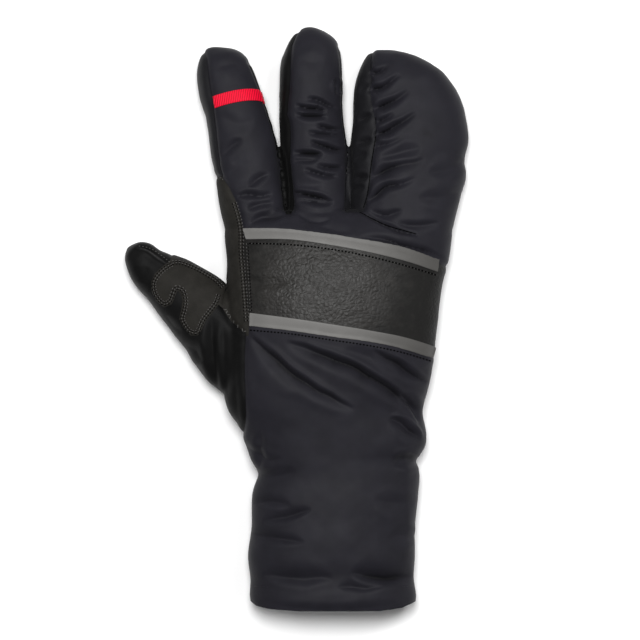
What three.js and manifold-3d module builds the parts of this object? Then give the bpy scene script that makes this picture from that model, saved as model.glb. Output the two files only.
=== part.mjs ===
// A winter lobster-claw glove for the right hand, lying on its palm with its back up.
// The thumb, the index and the middle finger have a sleeve each, and the ring and little
// finger share one wide sleeve, the claw. Every sleeve and the hand are lofted shapes. Their
// union, less the same shapes taken in by the wall, is one hollow skin that is open at the
// cuff, and the skin is cut along its seams into the panels that a maker sews together.
import * as THREE from "three";
import { mergeVertices } from "three/addons/utils/BufferGeometryUtils.js";
import Module from "manifold-3d";

const wasm = await Module();
wasm.setup();

// Driving sizes in millimetres. X runs across the hand, Y towards the fingertips, Z up.
const WALL = 2.4;
const SEAM_GAP = 0.3;
const HAND_LENGTH = 200.5;
const HAND_WIDTH = 110;
const HAND_DEPTH = 40;
const INDEX_LENGTH = 108;
const INDEX_WIDTH = 32;
const INDEX_DEPTH = 26;
const INDEX_TURN = 10.8;
const MIDDLE_LENGTH = 111.4;
const MIDDLE_WIDTH = 32;
const MIDDLE_DEPTH = 27;
const MIDDLE_TURN = 2.8;
const CLAW_LENGTH = 100;
const CLAW_WIDTH = 59;
const CLAW_DEPTH = 30;
const THUMB_LENGTH = 90.4;
const THUMB_WIDTH = 32;
const THUMB_DEPTH = 27;
const THUMB_TURN = 48.6;

// Where each sleeve starts inside the hand: in from the hand's thumb side, or from its far
// side for the claw, and down from the hand's knuckle end.
const INDEX_INSET = 16;
const INDEX_OVERLAP = 23.5;
const MIDDLE_INSET = 45;
const MIDDLE_OVERLAP = 19.5;
const CLAW_INSET = 22.5;
const CLAW_OVERLAP = 19.5;
const THUMB_INSET = 16;
const THUMB_OVERLAP = 78.5;

// The cuff: its hem's height, how far the hem's corners curve up, and how far the gauntlet
// reaches up the palm side.
const HEM_HEIGHT = 16;
const HEM_CORNER = 3;
const GAUNTLET_LENGTH = 89;

// The palm panel turns up to PALM_RISE all round. A side panel stands SIDE_RISE high on the
// finger's far side, and on its near side it shows beside the back as a strip.
const PALM_RISE = 7;
const SIDE_RISE = 13.5;
const SIDE_TUCK = 6;
const CROTCH_DEPTH = 2.5;
const INDEX_STRIP = 5;
const MIDDLE_STRIP = 5;
const CLAW_STRIP = 11.5;

// The band of leather over the back of the hand, and the reflective tapes along its edges
const BAND_SETBACK = 15;
const BAND_HEIGHT = 36.5;
const BAND_FALL = 17;
const UPPER_BOW = 4;
const LOWER_BOW = 2;
const TAPE_WIDTH = 5.6;
const TAPE_THICKNESS = 0.6;
const TAPE_SETBACK = 0.8;

// Small trim
const PULL_TAB_WIDTH = 6.6;
const PULL_TAB_THICKNESS = 1;
const PULL_TAB_FROM_TIP = 29.5;
const PULL_TAB_BOW = 5.5;
const PATCH_THICKNESS = 0.9;
const TRIM_LOW_EDGE = 10;

// Fineness of the facets
const HAND_FACETS = { stations: 34, around: 28, lining: 14 };
const SLEEVE_FACETS = { stations: 13, around: 16, lining: 10 };
const LINE_STEPS = 12;
const TIP_CROWDING = 1.6;

// A section's roundness: 2 is an ellipse, and more is squarer. BELLY is the height of the
// widest line, as a share of the section's height.
const CROWN_ROUNDNESS = 2.3;
const BASE_ROUNDNESS = 2.8;
const BELLY = 0.42;
const FAR = 400;

// Sections of each shape. along is a share of its length. left and right are shares of its
// width, measured from its axis. base and top are shares of its depth, and what lies under
// the floor is pressed flat on it.
const handSections = [
  { along: 0.0, left: -0.409, right: 0.345, base: -0.05, top: 0.84 },
  { along: 0.035, left: -0.411, right: 0.348, base: -0.05, top: 0.87 },
  { along: 0.08, left: -0.409, right: 0.336, base: -0.05, top: 0.85 },
  { along: 0.13, left: -0.42, right: 0.341, base: -0.05, top: 0.88 },
  { along: 0.217, left: -0.402, right: 0.341, base: -0.05, top: 0.88 },
  { along: 0.29, left: -0.4, right: 0.356, base: -0.05, top: 0.87 },
  { along: 0.354, left: -0.377, right: 0.359, base: -0.05, top: 0.86 },
  { along: 0.377, left: -0.4, right: 0.347, base: -0.05, top: 0.865 },
  { along: 0.404, left: -0.423, right: 0.382, base: -0.05, top: 0.88 },
  { along: 0.454, left: -0.45, right: 0.391, base: -0.05, top: 0.9 },
  { along: 0.499, left: -0.505, right: 0.373, base: -0.05, top: 0.92 },
  { along: 0.541, left: -0.525, right: 0.395, base: -0.05, top: 0.95 },
  { along: 0.666, left: -0.527, right: 0.432, base: -0.05, top: 1.0 },
  { along: 0.815, left: -0.516, right: 0.468, base: -0.05, top: 0.99 },
  { along: 0.878, left: -0.514, right: 0.495, base: -0.05, top: 0.95 },
  { along: 0.953, left: -0.522, right: 0.509, base: -0.05, top: 0.84 },
  { along: 1.0, left: -0.5, right: 0.5, base: 0.02, top: 0.68 },
];
const indexSections = [
  { along: 0.0, left: -0.44, right: 0.46, base: 0.05, top: 1.0 },
  { along: 0.28, left: -0.5, right: 0.56, base: -0.04, top: 1.04 },
  { along: 0.41, left: -0.475, right: 0.565, base: -0.05, top: 1.0 },
  { along: 0.52, left: -0.48, right: 0.555, base: -0.05, top: 0.97 },
  { along: 0.7, left: -0.455, right: 0.485, base: -0.05, top: 0.93 },
  { along: 0.78, left: -0.49, right: 0.45, base: -0.05, top: 0.92 },
  { along: 0.87, left: -0.475, right: 0.39, base: -0.04, top: 0.88 },
  { along: 0.94, left: -0.43, right: 0.3, base: 0.01, top: 0.79 },
  { along: 0.985, left: -0.32, right: 0.13, base: 0.12, top: 0.64 },
  { along: 1.0, left: -0.12, right: -0.12, base: 0.4, top: 0.4 },
];
const middleSections = [
  { along: 0.0, left: -0.46, right: 0.46, base: 0.05, top: 1.05 },
  { along: 0.18, left: -0.48, right: 0.5, base: -0.02, top: 1.06 },
  { along: 0.28, left: -0.5, right: 0.52, base: -0.04, top: 1.02 },
  { along: 0.45, left: -0.54, right: 0.505, base: -0.05, top: 0.98 },
  { along: 0.6, left: -0.53, right: 0.46, base: -0.05, top: 0.95 },
  { along: 0.78, left: -0.49, right: 0.48, base: -0.05, top: 0.92 },
  { along: 0.86, left: -0.45, right: 0.465, base: -0.04, top: 0.88 },
  { along: 0.925, left: -0.35, right: 0.42, base: 0.0, top: 0.8 },
  { along: 0.975, left: -0.2, right: 0.26, base: 0.12, top: 0.66 },
  { along: 1.0, left: 0.02, right: 0.02, base: 0.4, top: 0.4 },
];
const clawSections = [
  { along: 0.0, left: -0.43, right: 0.36, base: 0.05, top: 1.0 },
  { along: 0.14, left: -0.45, right: 0.42, base: -0.02, top: 1.03 },
  { along: 0.28, left: -0.466, right: 0.48, base: -0.05, top: 1.02 },
  { along: 0.36, left: -0.466, right: 0.52, base: -0.05, top: 1.0 },
  { along: 0.44, left: -0.474, right: 0.504, base: -0.05, top: 0.99 },
  { along: 0.55, left: -0.458, right: 0.538, base: -0.05, top: 0.97 },
  { along: 0.65, left: -0.44, right: 0.52, base: -0.05, top: 0.94 },
  { along: 0.75, left: -0.436, right: 0.475, base: -0.05, top: 0.9 },
  { along: 0.84, left: -0.415, right: 0.39, base: -0.04, top: 0.85 },
  { along: 0.915, left: -0.38, right: 0.25, base: 0.0, top: 0.77 },
  { along: 0.965, left: -0.325, right: 0.11, base: 0.08, top: 0.66 },
  { along: 0.99, left: -0.24, right: -0.01, base: 0.18, top: 0.54 },
  { along: 1.0, left: -0.144, right: -0.144, base: 0.36, top: 0.36 },
];
const thumbSections = [
  { along: 0.0, left: -0.66, right: 0.44, base: 0.04, top: 0.98 },
  { along: 0.1, left: -0.72, right: 0.52, base: 0.0, top: 1.0 },
  { along: 0.285, left: -0.67, right: 0.58, base: -0.04, top: 1.02 },
  { along: 0.385, left: -0.585, right: 0.585, base: -0.05, top: 1.0 },
  { along: 0.51, left: -0.525, right: 0.58, base: -0.05, top: 0.98 },
  { along: 0.6, left: -0.475, right: 0.53, base: -0.05, top: 0.95 },
  { along: 0.71, left: -0.4, right: 0.46, base: -0.05, top: 0.88 },
  { along: 0.845, left: -0.345, right: 0.32, base: -0.03, top: 0.8 },
  { along: 0.935, left: -0.22, right: 0.265, base: 0.04, top: 0.72 },
  { along: 0.98, left: -0.11, right: 0.15, base: 0.15, top: 0.6 },
  { along: 1.0, left: 0.01, right: 0.01, base: 0.38, top: 0.38 },
];

// The main folds of the back. across and along place a fold's middle, as shares of the width
// and the length. turn is its angle from the X axis in degrees. reach and spread are its
// half length and half width as shares of the width, and depth is a share of the depth.
const handFolds = [
  { across: -0.02, along: 0.088, turn: 0, reach: 0.36, spread: 0.055, depth: -0.035 },
  { across: -0.13, along: 0.593, turn: -36, reach: 0.34, spread: 0.05, depth: -0.045 },
  { across: 0.12, along: 0.588, turn: -27, reach: 0.3, spread: 0.05, depth: -0.05 },
  { across: 0.25, along: 0.64, turn: -25, reach: 0.16, spread: 0.045, depth: -0.035 },
  { across: -0.24, along: 0.245, turn: 14, reach: 0.15, spread: 0.05, depth: -0.03 },
];
const indexFolds = [
  { across: 0.08, along: 0.45, turn: 22, reach: 0.4, spread: 0.11, depth: -0.05 },
];
const middleFolds = [
  { across: -0.1, along: 0.61, turn: -6, reach: 0.34, spread: 0.11, depth: -0.06 },
  { across: 0.18, along: 0.5, turn: -4, reach: 0.32, spread: 0.11, depth: -0.06 },
  { across: -0.06, along: 0.4, turn: 0, reach: 0.36, spread: 0.11, depth: -0.06 },
  { across: 0.02, along: 0.245, turn: -8, reach: 0.36, spread: 0.11, depth: -0.06 },
];
const clawFolds = [
  { across: -0.19, along: 0.89, turn: 30, reach: 0.12, spread: 0.05, depth: -0.045 },
  { across: -0.14, along: 0.8, turn: 32, reach: 0.17, spread: 0.05, depth: -0.05 },
  { across: -0.1, along: 0.7, turn: 26, reach: 0.2, spread: 0.05, depth: -0.05 },
  { across: -0.1, along: 0.6, turn: 24, reach: 0.2, spread: 0.05, depth: -0.05 },
  { across: -0.02, along: 0.41, turn: 12, reach: 0.3, spread: 0.055, depth: -0.05 },
];
const thumbFolds = [
  { across: -0.12, along: 0.27, turn: -42, reach: 0.55, spread: 0.1, depth: -0.07 },
];

// The thumb's gusset is let into the hand along this line, given as shares of the hand's
// width and length, from the crotch of the thumb down to the gauntlet.
const gussetSeam = [
  { across: -0.568, along: 0.87 },
  { across: -0.518, along: 0.807 },
  { across: -0.536, along: 0.763 },
  { across: -0.491, along: 0.721 },
  { across: -0.427, along: 0.693 },
  { across: -0.432, along: 0.576 },
  { across: -0.427, along: 0.476 },
  { across: -0.441, along: 0.444 },
];

// The palm leather wraps over the thumb side of the hand up to this line, from the index
// finger down to the thumb's gusset.
const wrapSeam = [
  { across: -0.54, along: 1.085 },
  { across: -0.5, along: 1.05 },
  { across: -0.477, along: 1.025 },
  { across: -0.4545, along: 0.9875 },
  { across: -0.441, along: 0.95 },
  { across: -0.441, along: 0.895 },
  { across: -0.423, along: 0.776 },
  { across: -0.414, along: 0.685 },
];

// Outline of the leather patch, as shares of the thumb's width and length
const patchOutline = [
  { across: 0.62, along: 0.733 },
  { across: 0.244, along: 0.754 },
  { across: 0.05, along: 0.782 },
  { across: -0.16, along: 0.768 },
  { across: -0.26, along: 0.707 },
  { across: -0.31, along: 0.618 },
  { across: -0.125, along: 0.594 },
  { across: 0.02, along: 0.626 },
  { across: -0.05, along: 0.581 },
  { across: -0.26, along: 0.515 },
  { across: -0.335, along: 0.427 },
  { across: -0.253, along: 0.378 },
  { across: -0.03, along: 0.388 },
  { across: 0.3, along: 0.4 },
  { across: 0.62, along: 0.46 },
];

const hand = {
  length: HAND_LENGTH,
  width: HAND_WIDTH,
  depth: HAND_DEPTH,
  turn: 0,
  at: [0, 0],
  sections: handSections,
  folds: handFolds,
  facets: HAND_FACETS,
  open: true,
};
const index = {
  length: INDEX_LENGTH,
  width: INDEX_WIDTH,
  depth: INDEX_DEPTH,
  turn: INDEX_TURN,
  at: [INDEX_INSET - HAND_WIDTH / 2, HAND_LENGTH - INDEX_OVERLAP],
  sections: indexSections,
  folds: indexFolds,
  facets: SLEEVE_FACETS,
};
const middle = {
  length: MIDDLE_LENGTH,
  width: MIDDLE_WIDTH,
  depth: MIDDLE_DEPTH,
  turn: MIDDLE_TURN,
  at: [MIDDLE_INSET - HAND_WIDTH / 2, HAND_LENGTH - MIDDLE_OVERLAP],
  sections: middleSections,
  folds: middleFolds,
  facets: SLEEVE_FACETS,
};
const claw = {
  length: CLAW_LENGTH,
  width: CLAW_WIDTH,
  depth: CLAW_DEPTH,
  turn: 0,
  at: [HAND_WIDTH / 2 - CLAW_INSET, HAND_LENGTH - CLAW_OVERLAP],
  sections: clawSections,
  folds: clawFolds,
  facets: SLEEVE_FACETS,
};
const thumb = {
  length: THUMB_LENGTH,
  width: THUMB_WIDTH,
  depth: THUMB_DEPTH,
  turn: THUMB_TURN,
  at: [THUMB_INSET - HAND_WIDTH / 2, HAND_LENGTH - THUMB_OVERLAP],
  sections: thumbSections,
  folds: thumbFolds,
  facets: SLEEVE_FACETS,
};
const allShapes = [hand, index, middle, claw, thumb];

// A shape's section at any share of its length, in millimetres, smooth through its table
function sectionAt(shape, along) {
  shape.curve ??= new THREE.CubicInterpolant(
    shape.sections.map((row) => row.along),
    shape.sections.flatMap((row) => [row.left, row.right, row.base, row.top]),
    4,
  );
  const [left, right, base, top] = shape.curve.evaluate(along);
  return {
    y: along * shape.length,
    left: left * shape.width,
    right: right * shape.width,
    base: base * shape.depth,
    top: top * shape.depth,
  };
}

// How far the folds sink the back at a point of the shape's own frame
function relief(shape, x, y) {
  let height = 0;
  for (const fold of shape.folds) {
    const angle = THREE.MathUtils.degToRad(fold.turn);
    const dx = x - fold.across * shape.width;
    const dy = y - fold.along * shape.length;
    const lengthwise = dx * Math.cos(angle) + dy * Math.sin(angle);
    const crosswise = -dx * Math.sin(angle) + dy * Math.cos(angle);
    const fade = Math.exp(-((lengthwise / (fold.reach * shape.width)) ** 4));
    const groove = Math.exp(-((crosswise / (fold.spread * shape.width)) ** 2));
    height += fold.depth * shape.depth * fade * groove;
  }
  return height;
}

const rounded = (value, roundness) =>
  Math.sign(value) * Math.abs(value) ** (2 / roundness);

// One ring of a shape at a share of its length, taken in by inset on every side. There is no
// ring where the section is too small to hold the wall.
function ring(shape, along, inset, count) {
  const section = sectionAt(shape, along);
  const half = (section.right - section.left) / 2 - inset;
  const middleX = (section.left + section.right) / 2;
  const base = section.base + inset;
  const top = section.top - inset;
  if (half < WALL / 2 || top - Math.max(base, inset) < WALL) return null;
  const belly = base + BELLY * (top - base);
  const points = [];
  for (let k = 0; k < count; k++) {
    const angle = (2 * Math.PI * k) / count;
    const up = Math.sin(angle);
    const roundness = up > 0 ? CROWN_ROUNDNESS : BASE_ROUNDNESS;
    const side = rounded(Math.cos(angle), roundness);
    const x = middleX + half * side;
    const corner = shape.open && along === 0 ? HEM_CORNER * side ** 6 : 0;
    let z = belly + (up > 0 ? top - belly : belly - base) * rounded(up, roundness);
    if (up > 0) z += relief(shape, x, section.y) * Math.min(1, up * 1.5);
    points.push(new THREE.Vector3(x, section.y + corner, Math.max(z, inset)));
  }
  return points;
}

// A closed surface through rings, with a point at each end
function loftGeometry(rings, firstPole, lastPole) {
  const around = rings[0].length;
  const first = rings.length * around;
  const index = [];
  for (let k = 0; k < around; k++) {
    const next = (k + 1) % around;
    index.push(first, k, next);
    for (let r = 0; r + 1 < rings.length; r++) {
      const a = r * around;
      const b = a + around;
      index.push(a + k, b + k, b + next, a + k, b + next, a + next);
    }
    const last = (rings.length - 1) * around;
    index.push(first + 1, last + next, last + k);
  }
  const points = [...rings.flat(), firstPole, lastPole];
  const geometry = new THREE.BufferGeometry().setFromPoints(points);
  geometry.setIndex(index);
  return geometry;
}

function placed(shape, geometry) {
  const angle = THREE.MathUtils.degToRad(shape.turn);
  return geometry.rotateZ(angle).translate(shape.at[0], shape.at[1], 0);
}

// A point of a shape's own frame as a point of the hand's frame
function inHand(shape, x, y) {
  const point = new THREE.Vector2(x, y);
  point.rotateAround(new THREE.Vector2(), THREE.MathUtils.degToRad(shape.turn));
  return [point.x + shape.at[0], point.y + shape.at[1]];
}

function solidOf(geometry) {
  geometry.deleteAttribute("normal");
  geometry.deleteAttribute("uv");
  const merged = mergeVertices(geometry, 1e-4);
  return new wasm.Manifold(
    new wasm.Mesh({
      numProp: 3,
      vertProperties: merged.attributes.position.array,
      triVerts: new Uint32Array(merged.index.array),
    }),
  );
}

const centreOf = (points) =>
  points.reduce((sum, p) => sum.add(p), new THREE.Vector3()).divideScalar(points.length);

// The solid of a shape, taken in by inset, or made larger by a negative one. Stations crowd
// towards a sleeve's tip. The hollow of the hand runs out through its open end.
function loft(shape, inset = 0) {
  const { stations, around, lining } = shape.facets;
  const rings = [];
  for (let s = 0; s < stations; s++) {
    const along = shape.open ? s / (stations - 1) : 1 - (1 - s / stations) ** TIP_CROWDING;
    const points = ring(shape, along, inset, inset > 0 ? lining : around);
    if (points) rings.push(points);
  }
  const tip = sectionAt(shape, 1);
  const end = new THREE.Vector3((tip.left + tip.right) / 2, tip.y - inset, tip.base);
  if (shape.open) {
    rings.at(-1).forEach((p) => p.setY(p.y - Math.max(inset, 0)));
    end.copy(centreOf(rings.at(-1)));
    if (inset > 0) rings.unshift(rings[0].map((p) => p.clone().setY(-2 * HEM_CORNER)));
  }
  const start = centreOf(rings[0]).setY(Math.min(...rings[0].map((p) => p.y)));
  return solidOf(placed(shape, loftGeometry(rings, start, end)));
}

// A skin that lies over a shape, a seam's gap above it
const overlay = (shape, thickness) =>
  loft(shape, -SEAM_GAP - thickness).subtract(loft(shape, -SEAM_GAP));

// An outline with each corner moved out by distance
function grown(points, distance) {
  if (!distance) return points;
  const corners = points.map(([x, y]) => new THREE.Vector2(x, y));
  const side = THREE.ShapeUtils.isClockWise(corners) ? -1 : 1;
  return corners.map((corner, k) => {
    const before = corners.at(k - 1);
    const after = corners[(k + 1) % corners.length];
    const into = corner.clone().sub(before).normalize();
    const out = after.clone().sub(corner).normalize();
    const normal = new THREE.Vector2(into.y + out.y, -into.x - out.x).normalize();
    const stretch = Math.max(0.5, normal.dot(new THREE.Vector2(into.y, -into.x)));
    const moved = corner.add(normal.multiplyScalar((side * distance) / stretch));
    return [moved.x, moved.y];
  });
}

// An upright prism over an outline
function prism(points, from = -FAR, to = FAR) {
  const outline = new THREE.Shape(points.map(([x, y]) => new THREE.Vector2(x, y)));
  const options = { depth: to - from, bevelEnabled: false };
  return solidOf(new THREE.ExtrudeGeometry(outline, options).translate(0, 0, from));
}

// Outlines given in shares of a shape's width and length
const outlineOn = (shape, rows) =>
  rows.map((row) => inHand(shape, row.across * shape.width, row.along * shape.length));

// A line along a sleeve that keeps inset from one of its edges and closes on it at the tip
function edgeLine(shape, side, inset, from, to = 0.95) {
  const line = [];
  for (let s = 0; s <= LINE_STEPS; s++) {
    const along = THREE.MathUtils.lerp(from, to, s / LINE_STEPS);
    const section = sectionAt(shape, along);
    const beyond = Math.max(0, (along - 0.45) / 0.55);
    const taper = inset > 0 ? Math.sqrt(1 - beyond ** 2) : 1;
    const x = side === "left" ? section.left + inset * taper : section.right - inset * taper;
    line.push(inHand(shape, x, section.y));
  }
  return line;
}

// The share of a sleeve's length at which its axis passes a height over the hem
const shareAt = (shape, y) =>
  (y - shape.at[1]) / (shape.length * Math.cos(THREE.MathUtils.degToRad(shape.turn)));

// The strip of a side panel that shows beside the back of a sleeve
function sideStrip(shape, width, start) {
  const from = shareAt(shape, start - CROTCH_DEPTH);
  const seam = edgeLine(shape, "left", width, from);
  const outside = edgeLine(shape, "left", -CROTCH_DEPTH / 2, from);
  return [...seam, ...outside.reverse()];
}

// The low part of a side panel, from the far side of one sleeve to the next sleeve's strip
function sideGap(shape, next, width) {
  const start = HAND_LENGTH - 2 * CROTCH_DEPTH;
  const far = edgeLine(shape, "right", SIDE_TUCK, shareAt(shape, start));
  const near = edgeLine(next, "left", width, shareAt(next, start));
  return [...near, ...far.reverse()];
}

// The two long edges of the band, as heights over the hem at a place across the hand
const bandLeft = -0.43 * HAND_WIDTH;
const bandRight = 0.455 * HAND_WIDTH;
function bandEdge(edge, x) {
  const u = (x - bandLeft) / (bandRight - bandLeft);
  const start = edge === "upper" ? 0 : BAND_HEIGHT;
  const bow = edge === "upper" ? UPPER_BOW : LOWER_BOW;
  const y = HAND_LENGTH - BAND_SETBACK - start;
  return y - BAND_FALL * u + 4 * bow * u * (1 - u);
}

// An outline between two edges of the band, each shifted towards the fingers
function bandOutline(lower, lowerShift, upper, upperShift, from, to) {
  const low = [];
  const high = [];
  for (let s = 0; s <= LINE_STEPS; s++) {
    const x = THREE.MathUtils.lerp(from, to, s / LINE_STEPS);
    low.push([x, bandEdge(lower, x) + lowerShift]);
    high.unshift([x, bandEdge(upper, x) + upperShift]);
  }
  return [...low, ...high];
}

const rectangle = (x0, y0, x1, y1) => [
  [x0, y0],
  [x1, y0],
  [x1, y1],
  [x0, y1],
];

// Each region takes a panel out of the skin. grow widens it all round, so that what is left
// keeps a seam's gap to the panel.
const hemRegion = (grow) => prism(rectangle(-FAR, -FAR, FAR, HEM_HEIGHT + grow));

function thumbRegion(grow) {
  const seam = outlineOn(hand, gussetSeam);
  const outline = [...seam, [-FAR, seam.at(-1)[1]], [-FAR, FAR]];
  return prism(grown(outline, grow));
}

function palmRegion(grow) {
  const sole = rectangle(-FAR, GAUNTLET_LENGTH - grow, FAR, FAR);
  const seam = outlineOn(hand, wrapSeam);
  const wrap = [...seam, [-HAND_WIDTH, seam.at(-1)[1]], [-HAND_WIDTH, seam[0][1]]];
  return prism(sole, -FAR, PALM_RISE + grow).add(prism(grown(wrap, grow)));
}

const indexSideRegion = (grow) =>
  prism(grown(sideStrip(index, INDEX_STRIP, wrapSeam[0].along * HAND_LENGTH), grow));

const betweenRegion = (shape, next, width) => (grow) =>
  prism(grown(sideStrip(next, width, HAND_LENGTH), grow)).add(
    prism(grown(sideGap(shape, next, width), grow), -FAR, SIDE_RISE + grow),
  );

const bandRegion = (grow) =>
  prism(grown(bandOutline("lower", -TAPE_WIDTH, "upper", TAPE_WIDTH, -FAR / 2, FAR / 2), grow));

function gauntletRegion(grow) {
  const top = bandOutline("lower", -FAR, "lower", -TAPE_WIDTH, -FAR / 2, FAR / 2);
  return prism(grown(top, grow));
}

const material = (color, roughness) =>
  new THREE.MeshStandardMaterial({ color, roughness, metalness: 0 });
const softshell = material(0x303035, 0.78);
const stretch = material(0x1b1b1d, 0.85);
const leather = material(0x26231f, 0.6);
const grained = material(0x211f1e, 0.48);
const reflective = material(0x8a8681, 0.45);
const webbing = material(0xe3102b, 0.7);

const glove = new THREE.Group();

function addPanel(name, finish, solid) {
  const mesh = solid.getMesh();
  const geometry = new THREE.BufferGeometry();
  geometry.setAttribute("position", new THREE.BufferAttribute(mesh.vertProperties, 3));
  geometry.setIndex(new THREE.BufferAttribute(mesh.triVerts, 1));
  const panel = new THREE.Mesh(geometry, finish);
  panel.name = name;
  glove.add(panel);
}

// The skin
const joined = (solids) => solids.reduce((sum, solid) => sum.add(solid));
const outside = joined(allShapes.map((shape) => loft(shape)));
const hollow = joined(allShapes.map((shape) => loft(shape, WALL)));
let skin = outside.subtract(hollow);

function takePanel(name, finish, region) {
  addPanel(name, finish, skin.intersect(region(0)));
  skin = skin.subtract(region(SEAM_GAP));
}

takePanel("cuff_hem", softshell, hemRegion);
takePanel("thumb_sleeve", stretch, thumbRegion);
takePanel("palm_panel", leather, palmRegion);
takePanel("index_side", stretch, indexSideRegion);
takePanel("middle_side", stretch, betweenRegion(index, middle, MIDDLE_STRIP));
takePanel("claw_side", stretch, betweenRegion(middle, claw, CLAW_STRIP));
takePanel("knuckle_band", grained, bandRegion);
takePanel("gauntlet", softshell, gauntletRegion);
addPanel("finger_back", softshell, skin);

// The tapes lie over the band's edges, and end short of the wrap and of the hand's far side.
function addTape(name, edge, from, to) {
  const start = bandLeft + TAPE_SETBACK;
  const end = bandRight - TAPE_SETBACK;
  const outline = bandOutline(edge, from, edge, to, start, end);
  addPanel(
    name,
    reflective,
    overlay(hand, TAPE_THICKNESS).intersect(prism(outline, TRIM_LOW_EDGE)),
  );
}
addTape("upper_tape", "upper", 0, TAPE_WIDTH);
addTape("lower_tape", "lower", -TAPE_WIDTH, 0);

// The webbing tab crosses the back of the index finger in a bow, from the strip beside it to
// the finger's far side.
function addPullTab() {
  const reach = 0.6 * INDEX_WIDTH;
  const start = INDEX_STRIP - INDEX_WIDTH / 2;
  const low = [];
  const high = [];
  for (let s = 0; s <= LINE_STEPS; s++) {
    const x = THREE.MathUtils.lerp(start, reach, s / LINE_STEPS);
    const y = INDEX_LENGTH - PULL_TAB_FROM_TIP - PULL_TAB_BOW * (x / reach) ** 2;
    low.push(inHand(index, x, y));
    high.unshift(inHand(index, x, y + PULL_TAB_WIDTH));
  }
  const outline = [...low, ...high];
  addPanel(
    "pull_tab",
    webbing,
    overlay(index, PULL_TAB_THICKNESS).intersect(prism(outline, TRIM_LOW_EDGE)),
  );
}
addPullTab();

// The patch wraps the thumb's upper side, clear of the hand.
addPanel(
  "thumb_patch",
  leather,
  overlay(thumb, PATCH_THICKNESS)
    .intersect(prism(outlineOn(thumb, patchOutline), TRIM_LOW_EDGE))
    .subtract(loft(hand, -SEAM_GAP)),
);

// The origin is under the middle of the glove, on the surface that it lies on.
const box = new THREE.Box3().setFromObject(glove);
const centre = box.getCenter(new THREE.Vector3());
glove.position.set(-centre.x, -centre.y, -box.min.z);

const part = new THREE.Group();
part.add(glove);
export default part;
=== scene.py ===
"""A winter lobster-claw glove for the right hand, laid on its palm with its back up.

The glove is one fine skin, lofted section by section and creased along its folds. It is cut
along its seams into panels, and the panels are dressed with tapes, a leather patch, a pull
tab and rows of stitches.
"""

from __future__ import annotations

import logging
import math
from dataclasses import dataclass, field
from enum import Enum
from typing import NamedTuple

import bmesh
import bpy
import numpy as np
from mathutils import Matrix, Vector
from mathutils.bvhtree import BVHTree
from mathutils.kdtree import KDTree


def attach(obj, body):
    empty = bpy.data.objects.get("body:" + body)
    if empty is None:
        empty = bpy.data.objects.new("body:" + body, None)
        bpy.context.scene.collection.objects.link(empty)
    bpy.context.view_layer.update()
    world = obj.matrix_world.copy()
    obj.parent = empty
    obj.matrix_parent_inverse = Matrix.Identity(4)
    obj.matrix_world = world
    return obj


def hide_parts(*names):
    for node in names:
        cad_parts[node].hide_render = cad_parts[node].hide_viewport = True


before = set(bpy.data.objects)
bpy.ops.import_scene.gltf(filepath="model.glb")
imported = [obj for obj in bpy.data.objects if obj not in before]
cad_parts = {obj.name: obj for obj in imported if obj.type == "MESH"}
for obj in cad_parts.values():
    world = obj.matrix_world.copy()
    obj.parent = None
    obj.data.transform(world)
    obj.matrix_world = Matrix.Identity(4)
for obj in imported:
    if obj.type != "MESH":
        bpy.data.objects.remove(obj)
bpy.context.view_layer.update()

LOG = logging.getLogger("glove")
MM = 0.001
BODY = "root"

Pixel = tuple[float, float]
Colour = tuple[float, float, float]


class Slot(Enum):
    """The record's material slots."""

    SOFTSHELL = "softshell"
    STRETCH = "stretch_fabric"
    PALM_LEATHER = "palm_leather"
    BAND_LEATHER = "band_leather"
    TAPE = "reflective_tape"
    WEBBING = "red_webbing"


class Cut(Enum):
    """The two ways in which a region meets the skin."""

    KEEP_INSIDE = "INTERSECT"
    KEEP_OUTSIDE = "DIFFERENCE"


class Blend(Enum):
    """The two ways in which a material's factors go together."""

    PRODUCT = "MULTIPLY"
    SUM = "ADD"


@dataclass(frozen=True)
class PhotoGrid:
    """Turns a place read off the photograph into one on the glove's plan.

    Attributes:
        centre_px: the pixel that lies over the glove's origin.
        mm_per_px: the size of a pixel on the glove.
    """

    centre_px: Pixel = (296.5, 318.7)
    mm_per_px: float = 0.5

    def plan(self, places: list[Pixel] | tuple[Pixel, ...]) -> np.ndarray:
        """Gives places in metres.

        Args:
            places: pixels of the photograph.

        Returns:
            One row of x and y for each place.
        """
        px = np.asarray(places, float)
        across = (px[:, 0] - self.centre_px[0]) * self.mm_per_px * MM
        upward = (self.centre_px[1] - px[:, 1]) * self.mm_per_px * MM
        return np.stack([across, upward], 1)


GRID = PhotoGrid()


class SectionRow(NamedTuple):
    """One cross-section of a form, in shares of the form's length, width and depth."""

    along: float
    left: float
    right: float
    base: float
    top: float


def smooth_through(knots: np.ndarray, values: np.ndarray, at: float) -> float:
    """Reads a smooth curve that passes through every knot.

    Args:
        knots: places of the knots, rising.
        values: the curve's value at each knot.
        at: where to read it.

    Returns:
        The value there.
    """
    slopes = np.gradient(values, knots)
    k = int(np.clip(np.searchsorted(knots, at) - 1, 0, len(knots) - 2))
    span = knots[k + 1] - knots[k]
    t = (at - knots[k]) / span
    start = (2 * t**3 - 3 * t**2 + 1) * values[k] + (t**3 - 2 * t**2 + t) * span * slopes[k]
    end = (3 * t**2 - 2 * t**3) * values[k + 1] + (t**3 - t**2) * span * slopes[k + 1]
    return float(start + end)


def rounded(value: np.ndarray, roundness: float) -> np.ndarray:
    """Turns a circle's sine or cosine into that of a squarer or rounder section."""
    return np.sign(value) * np.abs(value) ** (2 / roundness)


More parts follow.
